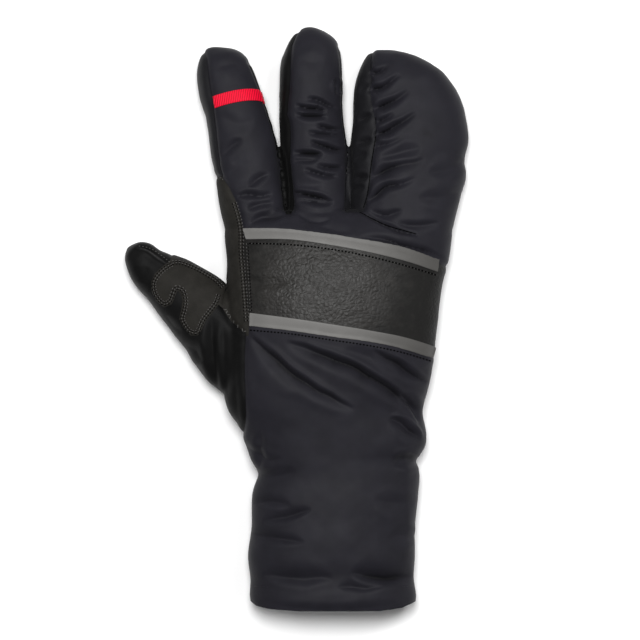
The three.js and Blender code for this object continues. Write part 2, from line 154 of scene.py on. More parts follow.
@dataclass(frozen=True)
class LoftForm:
    """A closed form through a table of sections, such as the hand or one finger's sleeve.

    Attributes:
        length: along its axis, in millimetres.
        width: in millimetres.
        depth: in millimetres.
        turn: of its axis from the hand's, in degrees.
        root_px: where its axis starts, read off the photograph.
        rows: its sections.
        start: share of the length at which the loft starts.
        stations: how many rings it is lofted through.
        around: how many points a ring has.
    """

    length: float
    width: float
    depth: float
    turn: float
    root_px: Pixel
    rows: tuple[SectionRow, ...]
    start: float = 0.0
    stations: int = 44
    around: int = 72
    crown_roundness: float = 2.3
    base_roundness: float = 2.8
    belly: float = 0.42

    def ring(self, along: float, angles: np.ndarray) -> np.ndarray:
        """Places one ring of points.

        Args:
            along: share of the length.
            angles: of the ring's points, in radians.

        Returns:
            One row of x, y and z in metres for each angle.
        """
        table = np.array(self.rows)
        left, right, base, top = (
            smooth_through(table[:, 0], table[:, k], along) for k in (1, 2, 3, 4)
        )
        half = (right - left) * self.width / 2
        middle = (right + left) * self.width / 2
        waist = (base + self.belly * (top - base)) * self.depth
        up = np.sin(angles)
        roundness = np.where(up > 0, self.crown_roundness, self.base_roundness)
        side = rounded(np.cos(angles), roundness)
        reach = np.where(up > 0, top * self.depth - waist, waist - base * self.depth)
        x = middle + half * side
        y = np.full_like(x, along * self.length)
        z = np.maximum(waist + reach * rounded(up, roundness), 0.0)
        turn = math.radians(self.turn)
        root = GRID.plan([self.root_px])[0]
        across = root[0] + (x * math.cos(turn) - y * math.sin(turn)) * MM
        upward = root[1] + (x * math.sin(turn) + y * math.cos(turn)) * MM
        return np.stack([across, upward, z * MM], 1)

    def add_to(self, bm: bmesh.types.BMesh) -> None:
        """Lofts the form into a mesh.

        Args:
            bm: the mesh that gets the closed form.
        """
        below: list[bmesh.types.BMEdge] = []
        for s in range(self.stations):
            u = s / (self.stations - 1)
            along = self.start + (0.998 - self.start) * (1 - (1 - u) ** 1.5)
            circle = bmesh.ops.create_circle(bm, segments=self.around, radius=1.0)["verts"]
            angles = np.array([math.atan2(v.co.y, v.co.x) for v in circle])
            for vert, place in zip(circle, self.ring(along, angles)):
                vert.co = place
            edges = list({edge for vert in circle for edge in vert.link_edges})
            if below:
                bmesh.ops.bridge_loops(bm, edges=below + edges)
            else:
                bmesh.ops.contextual_create(bm, geom=edges)
            below = edges
        bmesh.ops.contextual_create(bm, geom=below)


def rows_of(*table: tuple[float, float, float, float, float]) -> tuple[SectionRow, ...]:
    """Names the columns of a table of sections: along, left, right, base and top."""
    return tuple(SectionRow(*row) for row in table)


HAND = LoftForm(
    length=200.5,
    width=110,
    depth=40,
    turn=0,
    root_px=(340, 611),
    start=-0.06,
    stations=90,
    around=120,
    rows=rows_of(
        (-0.07, -0.409, 0.345, -0.05, 0.84),
        (0.0, -0.409, 0.345, -0.05, 0.84),
        (0.035, -0.411, 0.348, -0.05, 0.87),
        (0.08, -0.409, 0.336, -0.05, 0.85),
        (0.13, -0.42, 0.341, -0.05, 0.88),
        (0.217, -0.402, 0.341, -0.05, 0.88),
        (0.29, -0.4, 0.356, -0.05, 0.87),
        (0.354, -0.377, 0.359, -0.05, 0.86),
        (0.377, -0.4, 0.347, -0.05, 0.865),
        (0.404, -0.423, 0.382, -0.05, 0.88),
        (0.454, -0.45, 0.391, -0.05, 0.9),
        (0.499, -0.505, 0.373, -0.05, 0.92),
        (0.541, -0.525, 0.395, -0.05, 0.95),
        (0.666, -0.527, 0.432, -0.05, 1.0),
        (0.815, -0.516, 0.468, -0.05, 0.99),
        (0.878, -0.514, 0.495, -0.05, 0.95),
        (0.953, -0.522, 0.509, -0.05, 0.84),
        (1.0, -0.5, 0.5, 0.02, 0.68),
    ),
)
INDEX = LoftForm(
    length=108,
    width=32,
    depth=26,
    turn=10.8,
    root_px=(262, 257),
    rows=rows_of(
        (0.0, -0.44, 0.46, 0.05, 1.0),
        (0.28, -0.5, 0.56, -0.04, 1.04),
        (0.41, -0.475, 0.565, -0.05, 1.0),
        (0.52, -0.48, 0.555, -0.05, 0.97),
        (0.7, -0.455, 0.485, -0.05, 0.93),
        (0.78, -0.49, 0.45, -0.05, 0.92),
        (0.846, -0.482, 0.418, -0.045, 0.895),
        (0.89, -0.458, 0.392, -0.03, 0.86),
        (0.93, -0.415, 0.335, 0.0, 0.8),
        (0.96, -0.36, 0.245, 0.06, 0.72),
        (0.98, -0.305, 0.11, 0.13, 0.63),
        (0.993, -0.245, -0.05, 0.22, 0.54),
        (1.0, -0.16, -0.16, 0.38, 0.38),
    ),
)
MIDDLE = LoftForm(
    length=111.4,
    width=32,
    depth=27,
    turn=2.8,
    root_px=(320, 249),
    rows=rows_of(
        (0.0, -0.46, 0.46, 0.05, 1.05),
        (0.18, -0.48, 0.5, -0.02, 1.06),
        (0.28, -0.5, 0.52, -0.04, 1.02),
        (0.45, -0.54, 0.505, -0.05, 0.98),
        (0.6, -0.53, 0.46, -0.05, 0.95),
        (0.78, -0.49, 0.48, -0.05, 0.92),
        (0.83, -0.475, 0.485, -0.045, 0.9),
        (0.87, -0.44, 0.477, -0.035, 0.87),
        (0.91, -0.37, 0.455, -0.01, 0.82),
        (0.945, -0.3, 0.38, 0.04, 0.75),
        (0.97, -0.225, 0.27, 0.11, 0.67),
        (0.988, -0.135, 0.15, 0.2, 0.58),
        (0.997, -0.05, 0.05, 0.3, 0.48),
        (1.0, 0.0, 0.0, 0.39, 0.39),
    ),
)
CLAW = LoftForm(
    length=100,
    width=59,
    depth=30,
    turn=0,
    root_px=(405, 249),
    rows=rows_of(
        (0.0, -0.43, 0.36, 0.05, 1.0),
        (0.14, -0.45, 0.42, -0.02, 1.03),
        (0.28, -0.466, 0.48, -0.05, 1.02),
        (0.36, -0.466, 0.52, -0.05, 1.0),
        (0.44, -0.474, 0.504, -0.05, 0.99),
        (0.55, -0.458, 0.538, -0.05, 0.97),
        (0.65, -0.44, 0.52, -0.05, 0.94),
        (0.745, -0.436, 0.48, -0.05, 0.9),
        (0.805, -0.427, 0.43, -0.045, 0.87),
        (0.855, -0.41, 0.37, -0.035, 0.84),
        (0.895, -0.386, 0.303, -0.015, 0.8),
        (0.93, -0.36, 0.21, 0.015, 0.75),
        (0.955, -0.337, 0.133, 0.055, 0.69),
        (0.975, -0.31, 0.05, 0.1, 0.63),
        (0.99, -0.268, -0.06, 0.17, 0.55),
        (0.997, -0.22, -0.11, 0.24, 0.48),
        (1.0, -0.165, -0.165, 0.36, 0.36),
    ),
)
THUMB = LoftForm(
    length=90.4,
    width=32,
    depth=27,
    turn=48.6,
    root_px=(262, 367),
    rows=rows_of(
        (0.0, -0.66, 0.44, 0.04, 0.98),
        (0.1, -0.72, 0.52, 0.0, 1.0),
        (0.285, -0.67, 0.58, -0.04, 1.02),
        (0.385, -0.585, 0.585, -0.05, 1.0),
        (0.51, -0.525, 0.58, -0.05, 0.98),
        (0.6, -0.475, 0.53, -0.05, 0.95),
        (0.71, -0.4, 0.46, -0.05, 0.88),
        (0.845, -0.345, 0.32, -0.03, 0.8),
        (0.935, -0.22, 0.265, 0.04, 0.72),
        (0.98, -0.11, 0.15, 0.15, 0.6),
        (1.0, 0.01, 0.01, 0.38, 0.38),
    ),
)


class Fade(Enum):
    """How a fold dies away along its line."""

    AT_BOTH_ENDS = "both"
    AWAY_FROM_SEAM = "seam"


class Fold(NamedTuple):
    """A crease along a line read off the photograph.

    width is the valley's half width and depth its depth, in millimetres. lip is how far the
    cloth rises beside it, as a share of the depth. lean is how much steeper and higher the
    cloth stands on the line's left than on its right.
    """

    path: tuple[Pixel, ...]
    width: float
    depth: float
    fade: Fade = Fade.AT_BOTH_ENDS
    lip: float = 0.45
    lean: float = 0.0


SEAM = Fade.AWAY_FROM_SEAM

INDEX_FOLDS = (
    Fold(((223, 158), (230, 148), (241, 139)), 1.8, 1.4, lip=0.2, lean=0.3),
    Fold(((232, 166), (238, 158), (246, 152)), 2.4, 0.6),
    Fold(((250, 188), (258, 181), (270, 174)), 1.5, 1.6, lip=0.15),
    Fold(((236, 198), (250, 196), (262, 198), (274, 195)), 1.4, 2.0, lip=0.15),
    Fold(((246, 210), (258, 206), (274, 204)), 1.3, 1.8, lip=0.15),
    Fold(((218, 70), (230, 66), (246, 70)), 2.6, 0.6),
    Fold(((222, 118), (238, 124), (254, 122)), 2.6, 0.5),
    Fold(((230, 176), (240, 168), (252, 165)), 2.4, 0.5),
)
MIDDLE_FOLDS = (
    Fold(((307, 98.5), (316, 101), (326, 105), (337, 108)), 0.9, 2.2, lip=0.12, lean=0.4),
    Fold(((295, 106), (306, 108), (316, 110), (327, 113)), 1.1, 3.2, lip=0.12, lean=0.4),
    Fold(((295, 116), (306, 117), (316, 117.5), (328, 118)), 1.1, 3.2, lip=0.12, lean=0.4),
    Fold(((318, 127), (328, 129), (342, 131)), 1.1, 2.6, lip=0.12, lean=0.4),
    Fold(((308, 134.5), (322, 135.5), (334, 136), (343, 136)), 0.9, 2.2, lip=0.12, lean=0.4),
    Fold(((311, 143), (322, 146), (334, 149), (346, 151)), 1.2, 3.0, lip=0.12, lean=0.4),
    Fold(((292, 153), (302, 154), (312, 154.5), (323, 155)), 1.2, 3.4, lip=0.12, lean=0.4),
    Fold(((293, 160.5), (302, 161), (310, 161), (318, 160)), 0.8, 1.8, lip=0.12, lean=0.4),
    Fold(((317, 165.5), (328, 167), (344, 166.5)), 1.1, 2.6, lip=0.12, lean=0.4),
    Fold(((304, 170), (316, 173), (328, 176), (338, 177)), 1.0, 2.2, lip=0.12, lean=0.4),
    Fold(((293, 192.5), (306, 196), (320, 199.5), (334, 203)), 1.4, 3.8, lip=0.12, lean=0.4),
    Fold(((298, 202), (312, 203.5), (332, 205)), 1.0, 2.0, lip=0.12, lean=0.4),
    Fold(((298, 183), (312, 185), (325, 184)), 2.0, 0.6),
    Fold(((337, 79), (339, 86), (338, 94)), 1.2, 1.8),
    Fold(((299, 58), (310, 63), (324, 60)), 2.4, 0.4),
)
CLAW_FOLDS = (
    Fold(((371, 73), (378, 71.5), (388, 67)), 1.3, 2.8, SEAM, 0.14, 0.4),
    Fold(((371, 91), (380, 88), (390, 82), (400, 75)), 1.4, 3.6, SEAM, 0.14, 0.4),
    Fold(((375, 109), (386, 105), (398, 99), (409, 92)), 1.5, 3.8, SEAM, 0.14, 0.4),
    Fold(((377, 123), (385, 120), (393, 115)), 1.1, 2.4, SEAM, 0.1, 0.4),
    Fold(((377, 134), (388, 130), (400, 124), (417, 114)), 1.5, 3.9, SEAM, 0.14, 0.4),
    Fold(((376, 148), (386, 146), (402, 139)), 1.6, 1.8, SEAM, 0.16, 0.3),
    Fold(((374, 177), (390, 170), (408, 165), (424, 160)), 2.0, 3.0, SEAM, 0.16, 0.3),
    Fold(((370, 199), (384, 189), (400, 184), (416, 178)), 1.7, 3.0, SEAM, 0.16, 0.3),
    Fold(((380, 160), (398, 155), (420, 148)), 2.2, 1.2),
    Fold(((428, 174), (448, 171), (467, 163)), 2.2, 1.2),
    Fold(((418, 198), (442, 198), (462, 193)), 2.2, 1.0),
    Fold(((392, 60), (410, 64), (428, 74)), 3.4, 0.5),
    Fold(((358, 92), (364, 89), (369, 86)), 1.4, 1.2, lip=0.2),
    Fold(((357, 122), (364, 119), (371, 115)), 1.4, 1.8, lip=0.2),
    Fold(((355, 144), (363, 142), (371, 139)), 1.4, 1.8, lip=0.2),
    Fold(((353, 160), (360, 157), (367, 153)), 1.4, 1.4, lip=0.2),
    Fold(((353, 180), (360, 178), (367, 176)), 1.4, 2.0, lip=0.2),
    Fold(((351, 190), (357, 188), (364, 187)), 1.3, 1.4, lip=0.2),
)
KNUCKLE_FOLDS = (
    Fold(((356, 211), (367, 216.5), (386, 226), (406, 232), (420, 236)), 0.8, 2.2,
         lip=0.15, lean=0.3),
    Fold(((370, 213), (385, 215.5), (402, 213)), 1.5, 1.6, lip=0.15, lean=0.3),
    Fold(((398, 224), (410, 225.5), (424, 225), (438, 222)), 1.6, 1.6, lip=0.15, lean=0.3),
    Fold(((360, 238), (386, 241), (408, 246), (430, 252.5), (447, 261)), 1.3, 2.3, lip=0.1),
    Fold(((296, 214), (306, 219), (318, 222), (332, 220)), 1.3, 1.2, lip=0.2),
    Fold(((250, 224), (264, 217), (284, 217)), 1.5, 1.6, lip=0.2),
    Fold(((300, 226), (330, 229), (352, 234)), 2.0, 0.6),
    Fold(((236, 276), (255, 282.5), (288, 282.5)), 2.2, 0.6),
)
GAUNTLET_FOLDS = (
    Fold(((248, 333), (268, 351), (290, 371), (310, 385), (330, 396), (354, 410)), 2.0, 2.9,
         lip=0.22, lean=0.5),
    Fold(((256, 350), (276, 368), (298, 392)), 2.8, 0.7),
    Fold(((286, 342), (318, 353), (352, 367), (380, 383), (400, 397), (419, 413)), 2.1, 3.4,
         lip=0.22, lean=0.5),
    Fold(((372, 350), (388, 358), (406, 370), (428, 382)), 1.8, 2.7, lip=0.22, lean=0.5),
    Fold(((398, 350), (414, 356), (430, 362)), 1.8, 1.0),
    Fold(((344, 350), (372, 359), (398, 373)), 2.4, 0.9),
    Fold(((400, 392), (409, 402), (415, 413), (420, 422)), 1.4, 1.8, lean=-0.4),
    Fold(((388, 417), (400, 422), (410, 430), (420, 440)), 1.9, 2.4, lip=0.5, lean=0.5),
    Fold(((244, 442), (254, 452), (266, 458), (282, 456)), 1.8, 0.9),
    Fold(((262, 430), (261, 448), (260, 468)), 1.5, 0.8),
    Fold(((252, 503), (268, 501), (290, 504)), 1.7, 1.7, lip=0.1, lean=-0.3),
    Fold(((262, 521), (284, 515), (312, 507)), 1.8, 1.9, lip=0.1, lean=-0.3),
    Fold(((250, 533), (272, 537), (304, 540)), 1.7, 1.7, lip=0.1, lean=-0.3),
    Fold(((250, 470), (266, 476), (296, 471)), 2.6, 1.2, lip=0.1),
    Fold(((392, 462), (406, 459), (421, 463)), 2.0, 1.6),
    Fold(((388, 536), (402, 535), (416, 538)), 2.2, 1.1),
    Fold(((376, 498), (398, 503), (418, 501)), 2.8, 0.9),
    Fold(((262, 573), (285, 575.5), (310, 576), (334, 575)), 2.6, 2.0, lip=0.15, lean=-0.4),
    Fold(((350, 571), (368, 574), (388, 576.5), (414, 574.5)), 3.0, 3.6, lip=0.1, lean=-0.5),
    Fold(((338, 583), (358, 586), (384, 584)), 1.7, 1.8, lip=0.0, lean=-0.3),
    Fold(((250, 598), (290, 604), (380, 604), (414, 598)), 1.6, 0.4),
    Fold(((405, 436), (406, 480), (407, 520), (408, 556)), 4.0, -0.7, lip=0.0),
)
THUMB_FOLDS = (
    Fold(((214, 316), (213, 338), (214, 362), (218, 390)), 2.6, 1.7, lean=-0.3),
    Fold(((224, 322), (225, 345), (226, 372), (229, 398)), 1.8, 1.0, lean=-0.3),
    Fold(((136, 246), (150, 248), (162, 256), (172, 266)), 1.1, 1.2),
    Fold(((147, 266), (144, 274), (145, 284)), 2.4, 0.5),
    Fold(((166, 316), (172, 326), (182, 331)), 2.2, 0.7),
    Fold(((183, 345), (194, 350), (204, 362)), 2.2, 0.7),
    Fold(((237, 348), (236, 380), (238, 410), (242, 428)), 2.2, 0.5),
)
PITS = (
    Fold(((279, 142), (282, 155), (284, 172), (286, 190), (288, 212)), 2.4, 1.6, lip=0.0),
    Fold(((349, 146), (349.5, 160), (349, 180), (347, 204)), 1.8, 1.6, lip=0.0),
)
ALL_FOLDS = (
    INDEX_FOLDS
    + MIDDLE_FOLDS
    + CLAW_FOLDS
    + KNUCKLE_FOLDS
    + GAUNTLET_FOLDS
    + THUMB_FOLDS
    + PITS
)


def nearest_on_path(path: np.ndarray, places: np.ndarray) -> tuple[np.ndarray, np.ndarray]:
    """Measures places against a path on the plan.

    Args:
        path: the path's points, one row of x and y each.
        places: rows of x and y.

    Returns:
        Each place's distance from the path, positive to its left, and how far along the path
        it lies, from 0 to 1.
    """
    spans = np.linalg.norm(np.diff(path, axis=0), axis=1)
    starts = np.concatenate([[0.0], np.cumsum(spans)])
    best = np.full(len(places), np.inf)
    share = np.zeros(len(places))
    for k, span in enumerate(spans):
        run = path[k + 1] - path[k]
        along = np.clip((places - path[k]) @ run / span**2, 0.0, 1.0)
        off = places - path[k] - along[:, None] * run
        distance = np.linalg.norm(off, axis=1)
        closer = distance < np.abs(best)
        side = np.where(run[0] * off[:, 1] - run[1] * off[:, 0] < 0, -1.0, 1.0)
        best[closer] = (distance * side)[closer]
        share[closer] = (starts[k] + along[closer] * span) / starts[-1]
    return best, share


class ClothNoise:
    """Smooth random heights on the plan, the same on every run."""

    def __init__(self, seed: int, cells: int = 64) -> None:
        """Fills the lattice.

        Args:
            seed: of the random numbers.
            cells: along each side of the lattice, which repeats.
        """
        self.cells = cells
        self.lattice = np.random.default_rng(seed).uniform(-1, 1, (cells, cells))

    def at(self, places: np.ndarray, size: float) -> np.ndarray:
        """Reads the noise.

        Args:
            places: rows of x and y in metres.
            size: of the noise's lumps, in millimetres.

        Returns:
            A height from -1 to 1 for each place.
        """
        scaled = places / (size * MM)
        cell = np.floor(scaled).astype(int)
        t = scaled - cell
        t = t * t * (3 - 2 * t)
        i, j = cell[:, 0] % self.cells, cell[:, 1] % self.cells
        i1, j1 = (i + 1) % self.cells, (j + 1) % self.cells
        low = self.lattice[i, j] * (1 - t[:, 0]) + self.lattice[i1, j] * t[:, 0]
        high = self.lattice[i, j1] * (1 - t[:, 0]) + self.lattice[i1, j1] * t[:, 0]
        return low * (1 - t[:, 1]) + high * t[:, 1]


@dataclass
class Creases:
    """All that raises or sinks the cloth, its folds and the soft unevenness of padding, and the
    painted shade down in the folds.

    Attributes:
        folds: the creases read off the photograph.
        wander: how far a fold strays from its straight line, in millimetres.
        lumps: pairs of size and height of the padding's unevenness, in millimetres.
        open_depth: the depth up to which a fold gets no painted shade, in millimetres.
        least_width: the narrowest half width of a fold, in millimetres.
        roundness: of a fold's bottom, from 1 for a crease to 2 for a gutter.
        lip_place: how far its lips lie from its line, in half widths.
        lip_width: how wide they are, in half widths.
    """

    folds: tuple[Fold, ...] = ALL_FOLDS
    wander: float = 0.7
    lumps: tuple[tuple[float, float], ...] = ((22.0, 0.4), (9.0, 0.2), (4.5, 0.07))
    open_depth: float = 1.2
    least_width: float = 0.85
    roundness: float = 1.45
    lip_place: float = 2.1
    lip_width: float = 1.05

    def at(self, places: np.ndarray) -> tuple[np.ndarray, np.ndarray]:
        """Adds up the heights, and the painted shade down in the folds.

        Args:
            places: rows of x and y in metres.

        Returns:
            How far the cloth rises at each place, in metres, and how much painted shade it gets
            there, from 0 to 1.
        """
        noise = ClothNoise(7)
        shift = np.stack([noise.at(places, 8.0), noise.at(places + 0.5, 8.0)], 1)
        bent = places + shift * self.wander * MM
        total = np.zeros(len(places))
        fold_shade = np.zeros(len(places))
        for size, height in self.lumps:
            total += ClothNoise(int(size * 10)).at(places, size) * height * MM
        for fold in self.folds:
            path = evened(GRID.plan(fold.path), 16)
            near = 5 * fold.width * MM
            low, high = path.min(0) - near, path.max(0) + near
            here = np.flatnonzero(np.all((bent > low) & (bent < high), axis=1))
            signed, share = nearest_on_path(path, bent[here])
            fade = 1 - np.abs(2 * share - 1) ** 2.6
            if fold.fade is Fade.AWAY_FROM_SEAM:
                fade = (1 - share**1.6) * np.minimum(0.45 + 4 * share, 1.0)
            side = np.sign(signed)
            width = fold.width * MM * (1 - 0.6 * fold.lean * side) * (0.5 + 0.6 * fade)
            across = np.abs(signed) / np.maximum(width, self.least_width * MM)
            valley = np.exp(-(across**self.roundness)) * fade
            rise = fold.lip * (1 + 0.5 * fold.lean * side)
            crest = (across - self.lip_place) / self.lip_width
            lips = rise * np.exp(-(crest**2)) * fade
            total[here] += (lips - valley) * fold.depth * MM
            # Painted shade: darkest along the fold's line, and only in folds deeper than a set
            # depth.
            shade = np.exp(-1.6 * across**1.3) * fade
            shade *= np.clip((fold.depth - self.open_depth) / 1.8, 0.0, 1.0)
            fold_shade[here] = np.maximum(fold_shade[here], shade)
        return total, fold_shade


def linked(name: str, mesh: bpy.types.Mesh) -> bpy.types.Object:
    """Makes an object of a mesh and puts it in the scene.

    Args:
        name: of the object.
        mesh: its mesh.

    Returns:
        The object.
    """
    obj = bpy.data.objects.new(name, mesh)
    bpy.context.scene.collection.objects.link(obj)
    return obj


def object_from(name: str, bm: bmesh.types.BMesh) -> bpy.types.Object:
    """Turns a bmesh into an object, and frees the bmesh.

    Args:
        name: of the object.
        bm: the bmesh, which is used up.

    Returns:
        The object.
    """
    mesh = bpy.data.meshes.new(name)
    bm.to_mesh(mesh)
    bm.free()
    return linked(name, mesh)


def settle(obj: bpy.types.Object) -> None:
    """Applies an object's modifiers to its mesh.

    Args:
        obj: the object, whose mesh is replaced.
    """
    graph = bpy.context.evaluated_depsgraph_get()
    graph.update()
    done = bpy.data.meshes.new_from_object(obj.evaluated_get(graph), depsgraph=graph)
    old = obj.data
    obj.modifiers.clear()
    obj.data = done
    bpy.data.meshes.remove(old)


def discard(obj: bpy.types.Object) -> None:
    """Removes an object and its mesh.

    Args:
        obj: the object.
    """
    mesh = obj.data
    bpy.data.objects.remove(obj)
    bpy.data.meshes.remove(mesh)


def points_of(mesh: bpy.types.Mesh) -> np.ndarray:
    """Reads a mesh's points as rows of x, y and z.

    Args:
        mesh: the mesh.

    Returns:
        A row for each point.
    """
    flat = np.empty(len(mesh.vertices) * 3)
    mesh.vertices.foreach_get("co", flat)
    return flat.reshape(-1, 3)


def normals_of(mesh: bpy.types.Mesh) -> np.ndarray:
    """Reads the normals at a mesh's points as rows of x, y and z.

    Args:
        mesh: the mesh.

    Returns:
        A row for each point.
    """
    flat = np.empty(len(mesh.vertices) * 3)
    mesh.vertices.foreach_get("normal", flat)
    return flat.reshape(-1, 3)


def move_points(mesh: bpy.types.Mesh, points: np.ndarray) -> None:
    """Writes a mesh's points back, none of them under the floor.

    Args:
        mesh: the mesh.
        points: rows of x, y and z in metres.
    """
    points[:, 2] = np.maximum(points[:, 2], 0.0)
    mesh.vertices.foreach_set("co", points.ravel())
    mesh.update()


CUT_FACE = 1
# The name of the per-point value of painted shade down in the folds.
FOLD_SHADE = "fold_shade"


def marked(obj: bpy.types.Object) -> bpy.types.Object:
    """Gives an object the two slots that tell its own faces from those a cut leaves.

    Args:
        obj: the object.

    Returns:
        The same object.
    """
    for name in ("own_face", "cut_face"):
        obj.data.materials.append(bpy.data.materials.get(name) or bpy.data.materials.new(name))
    return obj


@dataclass
class Region:
    """An upright prism over an outline on the plan, which cuts the skin along its sides.

    Attributes:
        outline_px: the corners, read off the photograph.
        low: the prism's lower end, in millimetres.
        high: its upper end, in millimetres.
    """

    outline_px: tuple[Pixel, ...]
    low: float = -20.0
    high: float = 80.0

    def cutter(self) -> bpy.types.Object:
        """Builds the prism.

        Returns:
            The prism's object.
        """
        bm = bmesh.new()
        corners = [bm.verts.new((x, y, self.low * MM)) for x, y in GRID.plan(self.outline_px)]
        floor = bm.faces.new(corners)
        raised = bmesh.ops.extrude_face_region(bm, geom=[floor])["geom"]
        verts = [item for item in raised if isinstance(item, bmesh.types.BMVert)]
        rise = Vector((0, 0, (self.high - self.low) * MM))
        bmesh.ops.translate(bm, verts=verts, vec=rise)
        bmesh.ops.triangulate(bm, faces=bm.faces)
        bmesh.ops.recalc_face_normals(bm, faces=bm.faces)
        for face in bm.faces:
            face.material_index = CUT_FACE
        return marked(object_from("cutter", bm))

    def on_side(self, points: np.ndarray) -> np.ndarray:
        """Finds the points that lie on the prism's sides or ends.

        Args:
            points: rows of x, y and z.

        Returns:
            True for each such point.
        """
        corners = GRID.plan(self.outline_px)
        loop = np.vstack([corners, corners[:1]])
        distance, _ = nearest_on_path(loop, points[:, :2])
        near = 0.25 * MM
        sides = np.abs(distance) < near
        for end in (self.low, self.high):
            sides |= np.abs(points[:, 2] - end * MM) < near
        return sides


@dataclass
class GloveSkin:
    """The whole glove as one closed skin, before it is cut into panels.

    Attributes:
        forms: the hand and the sleeves.
        voxel: the fineness of the skin, in millimetres.
        creases: the folds on it.
    """

    forms: tuple[LoftForm, ...] = (HAND, INDEX, MIDDLE, CLAW, THUMB)
    voxel: float = 0.75
    smoothing: int = 12
    creases: Creases = field(default_factory=Creases)

    def build(self) -> bpy.types.Object:
        """Lofts the forms, joins them and creases the cloth.

        Returns:
            The closed skin.
        """
        bm = bmesh.new()
        for form in self.forms:
            form.add_to(bm)
        bmesh.ops.recalc_face_normals(bm, faces=bm.faces)
        skin = object_from("skin", bm)
        remesh = skin.modifiers.new("even", "REMESH")
        remesh.mode = "VOXEL"
        remesh.voxel_size = self.voxel * MM
        smooth = skin.modifiers.new("soften", "SMOOTH")
        smooth.iterations = self.smoothing
        settle(skin)
        self._crease(skin.data)
        return marked(skin)

    def _crease(self, mesh: bpy.types.Mesh) -> None:
        """Sinks the folds into the back, fading out towards the underside.

        Args:
            mesh: the skin's mesh.
        """
        points = points_of(mesh)
        normals = normals_of(mesh)
        facing = np.clip(normals[:, 2] * 2.2 + 0.55, 0.0, 1.0)
        rise, _ = self.creases.at(points[:, :2])
        move_points(mesh, points + normals * (rise * facing)[:, None])


class PatternCutter:
    """Cuts the closed skin into open sheets, one region after another."""

    def __init__(self, skin: bpy.types.Object) -> None:
        """Starts with the whole skin.

        Args:
            skin: the closed skin, which the cutter uses up.
        """
        self.rest = skin

    def _cut(self, source: bpy.types.Object, tool: bpy.types.Object, way: Cut) -> None:
        """Cuts an object with a tool.

        Args:
            source: what is cut.
            tool: the closed tool.
            way: what is kept.
        """
        cut = source.modifiers.new("cut", "BOOLEAN")
        cut.operation = way.value
        cut.solver = "MANIFOLD"
        cut.object = tool
        settle(source)

    def take(self, name: str, region: Region) -> bpy.types.Object:
        """Cuts one region out of what is left of the skin.

        Args:
            name: of the new piece.
            region: what to take.

        Returns:
            The closed piece of the skin in that region.
        """
        tool = region.cutter()
        piece = linked(name, self.rest.data.copy())
        self._cut(piece, tool, Cut.KEEP_INSIDE)
        self._cut(self.rest, tool, Cut.KEEP_OUTSIDE)
        discard(tool)
        return piece

    def layer(self, name: str, piece: bpy.types.Object, region: Region) -> bpy.types.Object:
        """Cuts a second layer over a closed piece, which stays whole.

        Args:
            name: of the new layer.
            piece: the closed piece that it lies on.
            region: where it lies.

        Returns:
            The closed layer.
        """
        tool = region.cutter()
        layer = linked(name, piece.data.copy())
        self._cut(layer, tool, Cut.KEEP_INSIDE)
        discard(tool)
        return layer

    def sheet(self, pieces: list[bpy.types.Object]) -> bpy.types.Object:
        """Opens closed pieces to the skin's own surface, and joins them to one sheet.

        Args:
            pieces: closed pieces. The first one's object becomes the sheet.

        Returns:
            The open sheet.
        """
        bm = bmesh.new()
        for piece in pieces:
            bm.from_mesh(piece.data)
        doomed = [face for face in bm.faces if face.material_index == CUT_FACE]
        bmesh.ops.delete(bm, geom=doomed, context="FACES")
        bmesh.ops.remove_doubles(bm, verts=bm.verts, dist=0.00012)
        rim = [vert for vert in bm.verts if vert.is_boundary]
        bmesh.ops.remove_doubles(bm, verts=rim, dist=0.00028)
        bmesh.ops.dissolve_degenerate(bm, edges=bm.edges, dist=0.00005)
        loose = [vert for vert in bm.verts if not vert.link_faces]
        bmesh.ops.delete(bm, geom=loose, context="VERTS")
        for other in pieces[1:]:
            discard(other)
        sheet = pieces[0]
        bm.to_mesh(sheet.data)
        bm.free()
        return sheet


